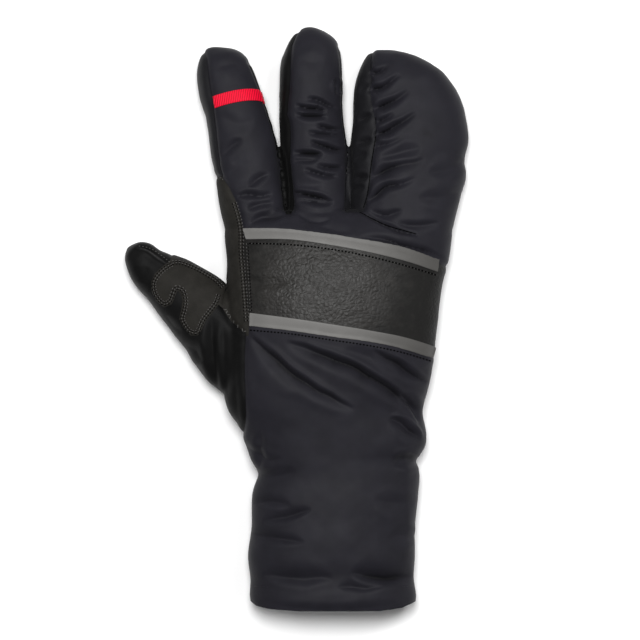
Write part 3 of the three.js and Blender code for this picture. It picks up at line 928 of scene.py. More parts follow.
@dataclass
class SewnPanel:
    """A panel of the glove, cut from the skin, tucked in along its seams and given a wall.

    Attributes:
        node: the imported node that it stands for.
        slot: its material slot.
        tuck: how deep its edges sink into the seams, in millimetres.
        roll: how wide the edge's roll is, in millimetres.
        pucker: the height of the ripples beside the seams, in millimetres.
        wall: its thickness, in millimetres.
        lift: how far it lies over the skin, in millimetres.
        flush: the region along whose sides the panel isn't tucked.
        keep: the share of its faces that is kept, where a plain panel needs fewer.
        fill: how full its padding is, from 0 to 1.
    """

    node: str
    slot: Slot
    tuck: float = 0.8
    roll: float = 1.3
    pucker: float = 0.25
    wall: float = 1.6
    lift: float = 0.0
    flush: Region | None = None
    keep: float = 1.0
    fill: float = 0.3

    def dress(
        self,
        sheet: bpy.types.Object,
        outside: bpy.types.Material,
        inside: bpy.types.Material,
    ) -> bpy.types.Object:
        """Finishes the panel.

        Args:
            sheet: the open sheet.
            outside: the material of its face.
            inside: the material of its lining.

        Returns:
            The finished piece.
        """
        sheet.name = self.node + "_cloth"
        self._tuck(sheet.data)
        sheet.data.materials.clear()
        sheet.data.materials.append(outside)
        sheet.data.materials.append(inside)
        for face in sheet.data.polygons:
            face.use_smooth = True
            face.material_index = 0
        wall = sheet.modifiers.new("wall", "SOLIDIFY")
        wall.thickness = self.wall * MM
        wall.offset = -1.0
        wall.material_offset = 1
        if self.keep < 1:
            fewer = sheet.modifiers.new("fewer", "DECIMATE")
            fewer.ratio = self.keep
        settle(sheet)
        self._crisp_rims(sheet.data)
        return finished(sheet, self.slot, self.node)

    def _crisp_rims(self, mesh: bpy.types.Mesh) -> None:
        """Keeps the shading of the cloth's face from bending over its cut edges.

        Args:
            mesh: the panel's mesh.
        """
        bm = bmesh.new()
        bm.from_mesh(mesh)
        for edge in bm.edges:
            if edge.is_manifold and edge.calc_face_angle() > math.radians(60):
                edge.smooth = False
        bm.to_mesh(mesh)
        bm.free()

    def _tuck(self, mesh: bpy.types.Mesh) -> None:
        """Sinks the edges into the seams, ripples the cloth beside them and stores the painted fold
        shade.

        Args:
            mesh: the open sheet's mesh.
        """
        bm = bmesh.new()
        bm.from_mesh(mesh)
        ends = [edge.verts for edge in bm.edges if edge.is_boundary]
        places = np.array([tuple((a.co + b.co) / 2) for a, b in ends])
        if self.flush:
            places = places[~self.flush.on_side(places)]
        tree = KDTree(len(places))
        for k, place in enumerate(places):
            tree.insert(place, k)
        tree.balance()
        bm.free()
        points = points_of(mesh)
        normals = normals_of(mesh)
        distance = np.array([tree.find(point)[2] for point in points]) / MM
        edge = np.exp(-((distance / self.roll) ** 2))
        swell = np.exp(-(((distance - 2.6 * self.roll) / (1.4 * self.roll)) ** 2))
        ripple = ClothNoise(31).at(points[:, :2], 3.6) * np.exp(-distance / 4.0)
        facing = np.clip(normals[:, 2] * 2 + 1, 0.0, 1.0)
        rise = self.tuck * (0.18 * swell - edge) * (0.35 + 0.65 * facing)
        rise += self.pucker * ripple * facing
        move_points(mesh, points + normals * ((self.lift + rise) * MM)[:, None])
        # Painted shade: how much darker the cloth is drawn down in each fold, kept on the upward
        # faces only.
        _, fold_shade = Creases().at(points[:, :2])
        layer = mesh.attributes.new(FOLD_SHADE, "FLOAT", "POINT")
        layer.data.foreach_set("value", (fold_shade * (normals[:, 2] > 0)).astype(np.float32))


def finished(obj: bpy.types.Object, slot: Slot, *nodes: str) -> bpy.types.Object:
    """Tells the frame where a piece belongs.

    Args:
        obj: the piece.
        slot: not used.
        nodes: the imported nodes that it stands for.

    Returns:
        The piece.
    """
    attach(obj, BODY)
    if nodes:
        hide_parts(*nodes)
    return obj


class Shader:
    """A material whose textures read Object coordinates."""

    def __init__(self, name: str, colour: Colour, roughness: float) -> None:
        """Makes a plain material.

        Args:
            name: of the material.
            colour: its base colour.
            roughness: its roughness.
        """
        self.material = bpy.data.materials.new(name)
        self.material.use_nodes = True
        self.nodes = self.material.node_tree.nodes
        self.links = self.material.node_tree.links
        self.surface = self.nodes["Principled BSDF"]
        self.surface.inputs["Base Color"].default_value = (*colour, 1.0)
        self.surface.inputs["Roughness"].default_value = roughness
        self.places = self.nodes.new("ShaderNodeTexCoord").outputs["Object"]
        self.normal: bpy.types.NodeSocket | None = None

    def set(self, **values: float) -> None:
        """Sets the shader's own sockets, named with underscores for spaces."""
        for name, value in values.items():
            self.surface.inputs[name.replace("_", " ")].default_value = value

    def mapped(
        self, turn: float, stretch: tuple[float, float, float] = (1, 1, 1), lean: float = 0.0
    ) -> bpy.types.NodeSocket:
        """Turns and stretches the coordinates.

        Args:
            turn: about the upright axis, in degrees.
            stretch: the scale along each axis.
            lean: about the second axis, in degrees.

        Returns:
            The new coordinates.
        """
        node = self.nodes.new("ShaderNodeMapping")
        node.inputs["Rotation"].default_value = (0, math.radians(lean), math.radians(turn))
        node.inputs["Scale"].default_value = stretch
        self.links.new(self.places, node.inputs["Vector"])
        return node.outputs["Vector"]

    def noise(
        self, size: float, detail: float = 2.0, places: bpy.types.NodeSocket | None = None
    ) -> bpy.types.NodeSocket:
        """Adds a noise whose lumps are about size millimetres wide.

        Args:
            size: of the lumps, in millimetres.
            detail: how many finer layers it has.
            places: the coordinates, if they aren't the plain ones.

        Returns:
            The noise, from 0 to 1.
        """
        node = self.nodes.new("ShaderNodeTexNoise")
        node.inputs["Scale"].default_value = 1 / (size * MM)
        node.inputs["Detail"].default_value = detail
        self.links.new(places or self.places, node.inputs["Vector"])
        return node.outputs["Fac"]

    def cells(self, size: float, feature: str = "F1") -> bpy.types.NodeSocket:
        """Adds a pattern of cells that are about size millimetres wide.

        Args:
            size: of the cells, in millimetres.
            feature: what is measured in a cell.

        Returns:
            The distance measured.
        """
        node = self.nodes.new("ShaderNodeTexVoronoi")
        node.feature = feature
        node.inputs["Scale"].default_value = 1 / (size * MM)
        self.links.new(self.places, node.inputs["Vector"])
        return node.outputs["Distance"]

    def ribs(self, pitch: float, places: bpy.types.NodeSocket) -> bpy.types.NodeSocket:
        """Adds ribs along the coordinates' first axis, pitch millimetres apart.

        Args:
            pitch: in millimetres.
            places: the coordinates.

        Returns:
            The ribs' height.
        """
        node = self.nodes.new("ShaderNodeTexWave")
        node.inputs["Scale"].default_value = math.tau / 20 / (pitch * MM)
        self.links.new(places, node.inputs["Vector"])
        return node.outputs["Fac"]

    def span(
        self, factor: bpy.types.NodeSocket, low: float, high: float
    ) -> bpy.types.NodeSocket:
        """Spreads a factor from 0 to 1 over the values low to high.

        Args:
            factor: from 0 to 1.
            low: the value at 0.
            high: the value at 1.

        Returns:
            The value.
        """
        node = self.nodes.new("ShaderNodeMapRange")
        node.inputs["To Min"].default_value = low
        node.inputs["To Max"].default_value = high
        self.links.new(factor, node.inputs["Value"])
        return node.outputs["Result"]

    def spot(self, middle_px: Pixel, across: float, upward: float) -> bpy.types.NodeSocket:
        """Adds a soft spot on the plan, 1 at its middle and 0 outside it.

        Args:
            middle_px: its middle, read off the photograph.
            across: its reach to either side, in millimetres.
            upward: its reach up and down the hand, in millimetres.

        Returns:
            The spot's strength.
        """
        scale = Vector((1 / (across * MM), 1 / (upward * MM), 0))
        middle = GRID.plan([middle_px])[0]
        node = self.nodes.new("ShaderNodeMapping")
        node.inputs["Location"].default_value = (-middle[0] * scale.x, -middle[1] * scale.y, 0)
        node.inputs["Scale"].default_value = scale
        self.links.new(self.places, node.inputs["Vector"])
        length = self.nodes.new("ShaderNodeVectorMath")
        length.operation = "LENGTH"
        self.links.new(node.outputs["Vector"], length.inputs[0])
        fall = self.nodes.new("ShaderNodeMapRange")
        fall.interpolation_type = "SMOOTHSTEP"
        fall.inputs["From Min"].default_value = 1.0
        fall.inputs["From Max"].default_value = 0.35
        self.links.new(length.outputs["Value"], fall.inputs["Value"])
        return fall.outputs["Result"]

    def combined(
        self, way: Blend, first: bpy.types.NodeSocket, second: bpy.types.NodeSocket
    ) -> bpy.types.NodeSocket:
        """Multiplies or adds two factors.

        Args:
            way: what is done with them.
            first: one factor.
            second: the other.

        Returns:
            What comes out.
        """
        node = self.nodes.new("ShaderNodeMath")
        node.operation = way.value
        self.links.new(first, node.inputs[0])
        self.links.new(second, node.inputs[1])
        return node.outputs["Value"]

    def tint(
        self,
        factor: bpy.types.NodeSocket,
        first: Colour,
        second: Colour,
        low: float = 0.3,
        high: float = 0.7,
        least: Colour | None = None,
    ) -> None:
        """Colours the surface between two colours.

        Args:
            factor: what chooses between them.
            first: the colour where the factor is low.
            second: the colour where it is high.
            low: the factor up to which the surface has the first colour.
            high: the factor from which it has the second.
            least: the colour where the factor is 0, if it isn't the first.
        """
        ramp = self.nodes.new("ShaderNodeValToRGB")
        ramp.color_ramp.elements[0].position = low
        ramp.color_ramp.elements[0].color = (*first, 1.0)
        ramp.color_ramp.elements[1].position = high
        ramp.color_ramp.elements[1].color = (*second, 1.0)
        if least:
            ramp.color_ramp.elements.new(0.0).color = (*least, 1.0)
        self.links.new(factor, ramp.inputs["Fac"])
        self.links.new(ramp.outputs["Color"], self.surface.inputs["Base Color"])

    def own(self, name: str) -> bpy.types.NodeSocket:
        """Reads one of the mesh's own values.

        Args:
            name: of the value.

        Returns:
            The value.
        """
        node = self.nodes.new("ShaderNodeAttribute")
        node.attribute_name = name
        return node.outputs["Fac"]

    def gloss(self, factor: bpy.types.NodeSocket, low: float, high: float) -> None:
        """Varies the roughness between two values."""
        self.links.new(self.span(factor, low, high), self.surface.inputs["Roughness"])

    def bump(self, height: bpy.types.NodeSocket, depth: float, strength: float = 1.0) -> None:
        """Adds relief on top of what is there.

        Args:
            height: the relief, from 0 to 1.
            depth: what 1 stands for, in millimetres.
            strength: of the relief.
        """
        node = self.nodes.new("ShaderNodeBump")
        node.inputs["Strength"].default_value = strength
        node.inputs["Distance"].default_value = depth * MM
        self.links.new(height, node.inputs["Height"])
        if self.normal:
            self.links.new(self.normal, node.inputs["Normal"])
        self.normal = node.outputs["Normal"]
        self.links.new(self.normal, self.surface.inputs["Normal"])


@dataclass(frozen=True)
class ClothFinish:
    """A woven or knitted cloth, with painted shade down in its folds.

    Attributes:
        name: of the material.
        dark: its darker tone, at random; down in its folds the painted shade takes it darker still,
            to a tenth of it.
        light: its colour elsewhere.
        roughness: of the cloth.
        weave: the pitch of its threads, in millimetres.
        relief: the height of its threads, in millimetres.
        index: how strongly it bends light, which sets its gloss.
        sheen: the strength of its sheen.
    """

    name: str
    dark: Colour
    light: Colour
    roughness: float = 0.6
    weave: float = 0.5
    relief: float = 0.03
    index: float = 1.3
    sheen: float = 0.015

    def material(self) -> bpy.types.Material:
        """Builds the material.

        Returns:
            The material.
        """
        shader = Shader(self.name, self.light, self.roughness)
        # Painted shade: the cloth is drawn darker down in its folds, by a value per point that the
        # panels carry from the fold list, down to a tenth of its dark tone.
        free_of_fold_shade = shader.span(shader.own(FOLD_SHADE), 1.0, 0.0)
        tone_mix = shader.combined(Blend.PRODUCT, shader.noise(11.0, 5.0), free_of_fold_shade)
        shader.tint(tone_mix, self.dark, self.light, least=tuple(0.1 * part for part in self.dark))
        shader.gloss(shader.noise(6.0, 3.0), self.roughness - 0.06, self.roughness + 0.06)
        shader.set(Sheen_Weight=self.sheen, Sheen_Roughness=0.5, IOR=self.index)
        shader.bump(shader.noise(3.2, 3.0), 0.12, 0.5)
        for turn in (45, -45):
            threads = shader.ribs(self.weave, shader.mapped(turn, lean=35))
            shader.bump(threads, self.relief, 0.5)
        return shader.material


@dataclass(frozen=True)
class FleeceFinish:
    """The brushed lining."""

    name: str = "fleece_lining"
    dark: Colour = (0.02, 0.02, 0.0215)
    light: Colour = (0.05, 0.05, 0.053)

    def material(self) -> bpy.types.Material:
        """Builds the material.

        Returns:
            The material.
        """
        shader = Shader(self.name, self.light, 0.95)
        shader.tint(shader.noise(1.6, 4.0), self.dark, self.light)
        shader.set(Sheen_Weight=0.1, Sheen_Roughness=0.6, IOR=1.15)
        shader.bump(shader.noise(1.4, 5.0), 0.4, 0.8)
        shader.bump(shader.cells(0.5), 0.12, 0.5)
        return shader.material


@dataclass(frozen=True)
class LeatherFinish:
    """A leather with a pebbled grain, which may be polished in one place and painted lighter there,
    as a highlight.

    Attributes:
        name: of the material.
        dark: its darker tone, at random, and where it is polished in one place, as painted shade
            away from that place.
        light: its lighter tone, and that of the painted highlight in the polished place.
        roughness: of the leather, where it isn't polished.
        grain: the size of the pebbles, in millimetres.
        relief: their height, in millimetres.
        creasing: the height of the creases across them, in millimetres.
        index: how strongly it bends light, which sets its gloss.
        polish: how much less rough it is where it is polished.
        polished_px: the middle of that place, read off the photograph, where the painted highlight
            is brightest.
        polished_size: its reach across and up the hand, in millimetres.
        end_px: a place where the grain is coarsest, read off the photograph.
    """

    name: str
    dark: Colour
    light: Colour
    roughness: float
    grain: float
    relief: float
    creasing: float
    index: float = 1.35
    polish: float = 0.0
    polished_px: Pixel = (322, 285)
    polished_size: tuple[float, float] = (50.0, 40.0)
    end_px: Pixel = (434, 305)

    def material(self) -> bpy.types.Material:
        """Builds the material.

        Returns:
            The material.
        """
        shader = Shader(self.name, self.light, self.roughness)
        shader.set(IOR=self.index)
        tone = shader.noise(5.0, 5.0)
        furrows = shader.cells(self.grain, "DISTANCE_TO_EDGE")
        pebbles = shader.cells(0.6 * self.grain, "SMOOTH_F1")
        creases = shader.noise(3.6, 2.5, shader.mapped(8, (1, 2.2, 1)))
        roughness = shader.span(pebbles, self.roughness - 0.05, self.roughness + 0.1)
        if self.polish:
            polish_and_painted_highlight = shader.spot(self.polished_px, *self.polished_size)
            end = shader.spot(self.end_px, 6.0, 40.0)
            coarse = shader.combined(Blend.SUM, polish_and_painted_highlight, end)
            gloss = shader.span(polish_and_painted_highlight, 0.0, -self.polish)
            roughness = shader.combined(Blend.SUM, roughness, gloss)
            share = shader.span(coarse, 0.3, 1.0)
            creases = shader.combined(Blend.PRODUCT, creases, share)
            furrows = shader.combined(Blend.PRODUCT, furrows, share)
            # Painted highlight and shade: the leather is drawn lighter in the polished place and
            # darker away from it, towards the band's ends.
            tone = shader.combined(Blend.SUM, tone, shader.span(polish_and_painted_highlight, -0.25, 0.3))
        shader.tint(tone, self.dark, self.light)
        shader.links.new(roughness, shader.surface.inputs["Roughness"])
        shader.bump(creases, self.creasing, 0.8)
        shader.bump(shader.span(furrows, 0.0, 4.0), self.relief, 0.8)
        shader.bump(shader.span(pebbles, 1.0, 0.0), 0.4 * self.relief, 0.6)
        shader.bump(shader.noise(0.4, 2.0), 0.02, 0.4)
        return shader.material


@dataclass(frozen=True)
class TapeFinish:
    """A reflective film of tiny beads, with a painted reflection: brightest at the tapes' left ends
    and dimmer towards their right ends.
    """

    name: str = "reflective_film"
    dark: Colour = (0.05, 0.048, 0.045)
    light: Colour = (0.132, 0.129, 0.124)

    def material(self) -> bpy.types.Material:
        """Builds the material.

        Returns:
            The material.
        """
        shader = Shader(self.name, self.light, 0.5)
        tone_mix = shader.span(shader.noise(9.0, 4.0), 0.7, 1.1)
        # Painted reflection: the film is drawn brighter round a spot near the tapes' left ends and
        # darker towards their right ends.
        tone_and_painted_reflection = shader.combined(Blend.PRODUCT, tone_mix, shader.spot((255, 280), 96.0, 220.0))
        shader.tint(tone_and_painted_reflection, self.dark, self.light, 0.0, 1.0)
        shader.gloss(shader.noise(2.0, 3.0), 0.5, 0.65)
        shader.set(IOR=1.35)
        shader.bump(shader.cells(0.5), 0.03, 0.5)
        return shader.material


@dataclass(frozen=True)
class WebbingFinish:
    """A ribbed red webbing."""

    name: str = "red_ribbed_webbing"
    dark: Colour = (0.46, 0.002, 0.014)
    light: Colour = (0.8, 0.004, 0.036)
    pitch: float = 1.1
    turn: float = 8.0

    def material(self) -> bpy.types.Material:
        """Builds the material.

        Returns:
            The material.
        """
        shader = Shader(self.name, self.light, 0.5)
        ribs = shader.ribs(self.pitch, shader.mapped(self.turn, (1, 1, 1)))
        shader.tint(ribs, self.dark, self.light)
        shader.set(Sheen_Weight=0.03, Sheen_Roughness=0.3, IOR=1.2)
        shader.bump(ribs, 0.18, 0.9)
        shader.bump(shader.noise(0.4, 2.0), 0.05, 0.5)
        return shader.material


@dataclass(frozen=True)
class ThreadFinish:
    """A twisted sewing thread."""

    name: str
    colour: Colour
    index: float
    roughness: float = 0.6

    def material(self) -> bpy.types.Material:
        """Builds the material.

        Returns:
            The material.
        """
        shader = Shader(self.name, self.colour, self.roughness)
        darker = tuple(0.6 * part for part in self.colour)
        shader.tint(shader.noise(0.5, 2.0), darker, self.colour)
        shader.set(IOR=self.index)
        shader.bump(shader.ribs(0.35, shader.mapped(30, (1, 1, 1))), 0.05, 0.6)
        return shader.material


SOFTSHELL = ClothFinish(
    "softshell_cloth", (0.0107, 0.0103, 0.0136), (0.0137, 0.0132, 0.0176), 0.54, 0.5, 0.03, 1.18
)
# STRETCH and STRIP are a darker and a lighter copy of the one stretch fabric; the darker one on the
# middle finger's side strip is painted shade.
STRETCH = ClothFinish(
    "stretch_cloth", (0.0032, 0.0032, 0.0032), (0.0046, 0.0046, 0.0047), 0.5, 0.4, 0.03, 1.15
)
STRIP = ClothFinish(
    "strip_cloth", (0.0072, 0.0071, 0.0084), (0.0105, 0.0104, 0.0122), 0.55, 0.4, 0.03, 1.2
)
PALM_LEATHER = LeatherFinish(
    "palm_suede", (0.0122, 0.0114, 0.0098), (0.0185, 0.0172, 0.015), 0.7, 1.0, 0.05, 0.1, 1.2
)
BAND_LEATHER = LeatherFinish(
    "band_grain", (0.005, 0.0047, 0.0043), (0.0145, 0.0136, 0.0123), 0.6, 2.2, 0.1, 0.34, 1.27, 0.17
)
BLACK_THREAD = ThreadFinish("black_thread", (0.0012, 0.0012, 0.0013), 1.08)
# The grey thread also makes the painted highlight dots on the band's upper stitch row.
GREY_THREAD = ThreadFinish("tonal_and_glint_thread", (0.09, 0.088, 0.084), 1.4)

MOUTH = Region(
    (
        (180, 720),
        (180, 597),
        (249, 600),
        (256, 604.5),
        (270, 607),
        (300, 608.5),
        (380, 608.5),
        (402, 606),
        (416, 601),
        (480, 597),
        (480, 720),
    )
)
HEM = Region(((180, 720), (180, 585), (250, 585), (330, 586), (415, 585), (480, 584), (480, 720)))
GUSSET = Region(
    (
        (215, 262),
        (226, 287.5),
        (222, 305),
        (232, 322),
        (246, 333),
        (245, 356),
        (245, 380),
        (246, 400),
        (246, 420),
        (243, 433),
        (10, 433),
        (10, 140),
    )
)
PALM_SOLE = Region(((10, 433), (600, 433), (600, -40), (10, -40)), high=7.0)
PALM_WRAP = Region(
    (
        (221, 177),
        (225.5, 183),
        (230, 190),
        (235, 200),
        (240, 215),
        (243, 230),
        (243, 252),
        (245, 276),
        (247, 300),
        (249.5, 318),
        (249, 336),
        (60, 336),
        (60, 177),
    )
)
INDEX_SIDE = Region(
    (
        (196, 40),
        (202.5, 50),
        (206, 60),
        (208.5, 80),
        (211, 95),
        (213, 110),
        (215, 130),
        (217, 150),
        (219, 165),
        (222, 178),
        (150, 178),
        (150, 40),
    )
)
MIDDLE_SIDE = Region(
    (
        (298, 30),
        (295, 36),
        (291, 46),
        (290, 60),
        (290, 75),
        (289, 90),
        (287, 105),
        (286.5, 115),
        (289.5, 124),
        (290.5, 135),
        (289.5, 150),
        (289, 162),
        (290, 175),
        (292, 190),
        (293, 205),
        (291.5, 214),
        (286, 214),
        (284.5, 205),
        (283, 190),
        (281, 170),
        (279.6, 150),
        (279, 135),
        (277.5, 118),
        (277.5, 95),
        (278.5, 85),
        (279, 66),
        (281, 57),
        (284, 50),
        (288, 41),
        (295, 30),
    )
)
MIDDLE_LOW = Region(
    (
        (245, 66),
        (248, 84),
        (254, 108),
        (261, 134),
        (266, 152),
        (270, 180),
        (273, 205),
        (274, 218),
        (291.5, 218),
        (293, 205),
        (290, 175),
        (289.5, 150),
        (287, 105),
        (290, 60),
        (298, 30),
    ),
    high=13.5,
)
CLAW_SIDE = Region(
    (
        (372, 51),
        (370, 60),
        (369.5, 70),
        (370.5, 80),
        (370, 92),
        (370.5, 102),
        (373, 113),
        (375, 125),
        (375.5, 136),
        (375, 144),
        (373, 152),
        (371, 165),
        (370, 180),
        (368, 190),
        (366, 200),
        (363, 212),
        (346, 212),
        (346, 203),
        (347, 180),
        (348, 160),
        (348.5, 147),
        (350.5, 138),
        (352, 130),
        (351.5, 110),
        (353, 90),
        (355, 80),
        (358, 70),
        (362, 60),
        (367, 51),
    )
)
CLAW_LOW = Region(
    (
        (328, 46),
        (331, 60),
        (331, 80),
        (331, 100),
        (332, 128),
        (336, 145),
        (337, 170),
        (336, 205),
        (336, 217),
        (363, 217),
        (368, 190),
        (371, 165),
        (373, 152),
        (375, 136),
        (370, 92),
        (370, 60),
        (372, 51),
    ),
    high=13.5,
)
PATCH = Region(
    (
        (170, 261.5),
        (163.5, 266.5),
        (156, 273.5),
        (152, 282),
        (152.5, 292),
        (157, 301),
        (165, 307.5),
        (173, 304),
        (176, 297),
        (178.5, 290.5),
        (182, 295),
        (183.5, 301),
        (182, 311),
        (180, 319),
        (184, 327),
        (191.5, 335.5),
        (199, 335.5),
        (203, 329),
        (207, 320.5),
        (213.5, 313),
        (219, 305),
        (228, 312),
        (240, 290),
        (222, 262),
        (190, 248),
        (176, 244),
    ),
    low=9.0,
)
UPPER_EDGE_PX: tuple[Pixel, ...] = (
    (243, 233),
    (262, 233),
    (280, 233.5),
    (300, 235),
    (320, 238),
    (340, 241),
    (360, 244),
    (380, 247.5),
    (400, 252),
    (415, 256),
    (430, 261),
    (443, 266),
)
LOWER_EDGE_PX: tuple[Pixel, ...] = (
    (250, 322),
    (270, 324),
    (290, 326.5),
    (310, 329),
    (330, 332.5),
    (350, 335),
    (370, 338),
    (390, 342),
    (410, 347),
    (432, 354),
)
BAND = Region(
    ((180, 233), *UPPER_EDGE_PX, (500, 287), (500, 378), *reversed(LOWER_EDGE_PX), (180, 322))
)
CUFF = Region(((180, 322), *LOWER_EDGE_PX, (500, 378), (500, 720), (180, 720)))


@dataclass
class SurfaceTrim:
    """A narrow trim sewn flat over the panels, such as a tape.

    Attributes:
        name: of the piece.
        node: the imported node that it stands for.
        slot: its material slot.
        first_px: its one long edge, read off the photograph.
        second_px: its other long edge, with as many places.
        lift: its height over the panels, in millimetres.
        thickness: in millimetres.
        step: the fineness of its mesh, in millimetres.
    """

    name: str
    node: str
    slot: Slot
    first_px: tuple[Pixel, ...]
    second_px: tuple[Pixel, ...]
    lift: float = 0.6
    thickness: float = 0.7
    step: float = 0.8

    def build(self, ground: BVHTree, material: bpy.types.Material) -> bpy.types.Object:
        """Lays the trim over the panels.

        Args:
            ground: the panels' surface.
            material: the trim's material.

        Returns:
            The finished piece.
        """
        first, second = evened(GRID.plan(self.first_px)), evened(GRID.plan(self.second_px))
        long_way = int(np.linalg.norm(first[-1] - first[0]) / (self.step * MM))
        short_way = max(4, int(np.linalg.norm(second[0] - first[0]) / (self.step * MM)))
        bm = bmesh.new()
        grid = bmesh.ops.create_grid(
            bm, x_segments=long_way, y_segments=short_way, size=0.5
        )["verts"]
        for vert in grid:
            u, v = vert.co.x + 0.5, vert.co.y + 0.5
            place = reading(first, u) * (1 - v) + reading(second, u) * v
            vert.co = over(ground, place, self.lift)
        for _ in range(8):
            bmesh.ops.smooth_vert(bm, verts=bm.verts, factor=0.5, use_axis_z=True)
            for vert in bm.verts:
                lowest = over(ground, np.array(vert.co.xy), 0.75 * self.lift)
                vert.co.z = max(vert.co.z, lowest.z)
        bmesh.ops.recalc_face_normals(bm, faces=bm.faces)
        trim = object_from(self.name, bm)
        if normals_of(trim.data)[:, 2].mean() < 0:
            trim.data.flip_normals()
        for face in trim.data.polygons:
            face.use_smooth = True
        trim.data.materials.append(material)
        wall = trim.modifiers.new("wall", "SOLIDIFY")
        wall.thickness = self.thickness * MM
        wall.offset = -1.0
        bevel = trim.modifiers.new("edge", "BEVEL")
        bevel.width = 0.15 * MM
        bevel.segments = 2
        return finished(trim, self.slot, self.node)


@dataclass
class FingerLoop:
    """A webbing tab laid round a finger's back, from one of its seams to its far side.

    Attributes:
        middle_px: the middle of the tab, read off the photograph.
        turn: of the finger from the hand, in degrees.
        axis_height: of the finger's axis over the floor, in millimetres.
        width: of the webbing, in millimetres.
        thickness: of the webbing, in millimetres.
        start: where it starts round the finger, in degrees from its right side.
        end: where it ends.
        bow: how far its middle lies nearer the tip than its ends, in millimetres.
        rise: how far its right end lies nearer the tip than its left, in millimetres.
        reach: how far out from the axis the finger is sought, in millimetres.
        lift: its height over the panels, in millimetres.
    """

    middle_px: Pixel = (238, 99)
    turn: float = 10.8
    axis_height: float = 10.0
    width: float = 6.0
    thickness: float = 0.8
    start: float = 10.0
    end: float = 134.0
    bow: float = 3.2
    rise: float = -0.1
    reach: float = 19.0
    lift: float = 0.75

    def build(self, ground: BVHTree, material: bpy.types.Material) -> bpy.types.Object:
        """Lays the tab round the finger.

        Args:
            ground: the panels' surface.
            material: the webbing.

        Returns:
            The finished piece.
        """
        turn = math.radians(self.turn)
        across = Vector((math.cos(turn), math.sin(turn), 0))
        tipward = Vector((-math.sin(turn), math.cos(turn), 0))
        plan = GRID.plan([self.middle_px])[0]
        axis = Vector((plan[0], plan[1], self.axis_height * MM))
        bm = bmesh.new()
        grid = bmesh.ops.create_grid(bm, x_segments=48, y_segments=8, size=0.5)["verts"]
        for vert in grid:
            u, v = vert.co.x + 0.5, vert.co.y
            angle = math.radians(self.start + (self.end - self.start) * u)
            out = across * math.cos(angle) + Vector((0, 0, math.sin(angle)))
            along = self.bow * (math.sin(angle) - 0.7) + self.rise * math.cos(angle)
            foot = axis + tipward * ((along + v * self.width) * MM)
            hit, _, _, _ = ground.ray_cast(foot + out * (self.reach * MM), -out)
            vert.co = (hit or foot) + out * (self.lift * MM)
        bmesh.ops.recalc_face_normals(bm, faces=bm.faces)
        tab = object_from("pull_tab_webbing", bm)
        if normals_of(tab.data)[:, 2].mean() < 0:
            tab.data.flip_normals()
        for face in tab.data.polygons:
            face.use_smooth = True
        tab.data.materials.append(material)
        wall = tab.modifiers.new("wall", "SOLIDIFY")
        wall.thickness = self.thickness * MM
        wall.offset = -1.0
        bevel = tab.modifiers.new("edge", "BEVEL")
        bevel.width = 0.2 * MM
        bevel.segments = 2
        return finished(tab, Slot.WEBBING, "pull_tab")


def evened(path: np.ndarray, count: int = 60) -> np.ndarray:
    """Smooths a path on the plan and spaces its points evenly.

    Args:
        path: rows of x and y.
        count: how many points to give back.

    Returns:
        Rows of x and y.
    """
    spans = np.linalg.norm(np.diff(path, axis=0), axis=1)
    places = np.concatenate([[0.0], np.cumsum(spans)])
    at = np.linspace(0, places[-1], count)
    columns = [[smooth_through(places, path[:, k], s) for s in at] for k in (0, 1)]
    return np.array(columns).T


def reading(path: np.ndarray, share: float) -> np.ndarray:
    """Reads a place on an evenly spaced path, at a share of its length.

    Args:
        path: rows of x and y.
        share: of the length, from 0 to 1.

    Returns:
        Its x and y.
    """
    at = np.clip(share, 0.0, 1.0) * (len(path) - 1)
    k = int(min(at, len(path) - 2))
    return path[k] + (path[k + 1] - path[k]) * (at - k)


def over(ground: BVHTree, place: np.ndarray, lift: float) -> Vector:
    """Finds the point over a place on the plan, lift millimetres above the panels.

    Args:
        ground: the panels' surface.
        place: x and y.
        lift: in millimetres.

    Returns:
        The point.
    """
    start = Vector((place[0], place[1], 0.2))
    hit, normal, _, _ = ground.ray_cast(start, Vector((0, 0, -1)))
    if hit is None:
        hit, normal, _, _ = ground.find_nearest(Vector((place[0], place[1], 0.012)))
    return hit + normal * (lift * MM)


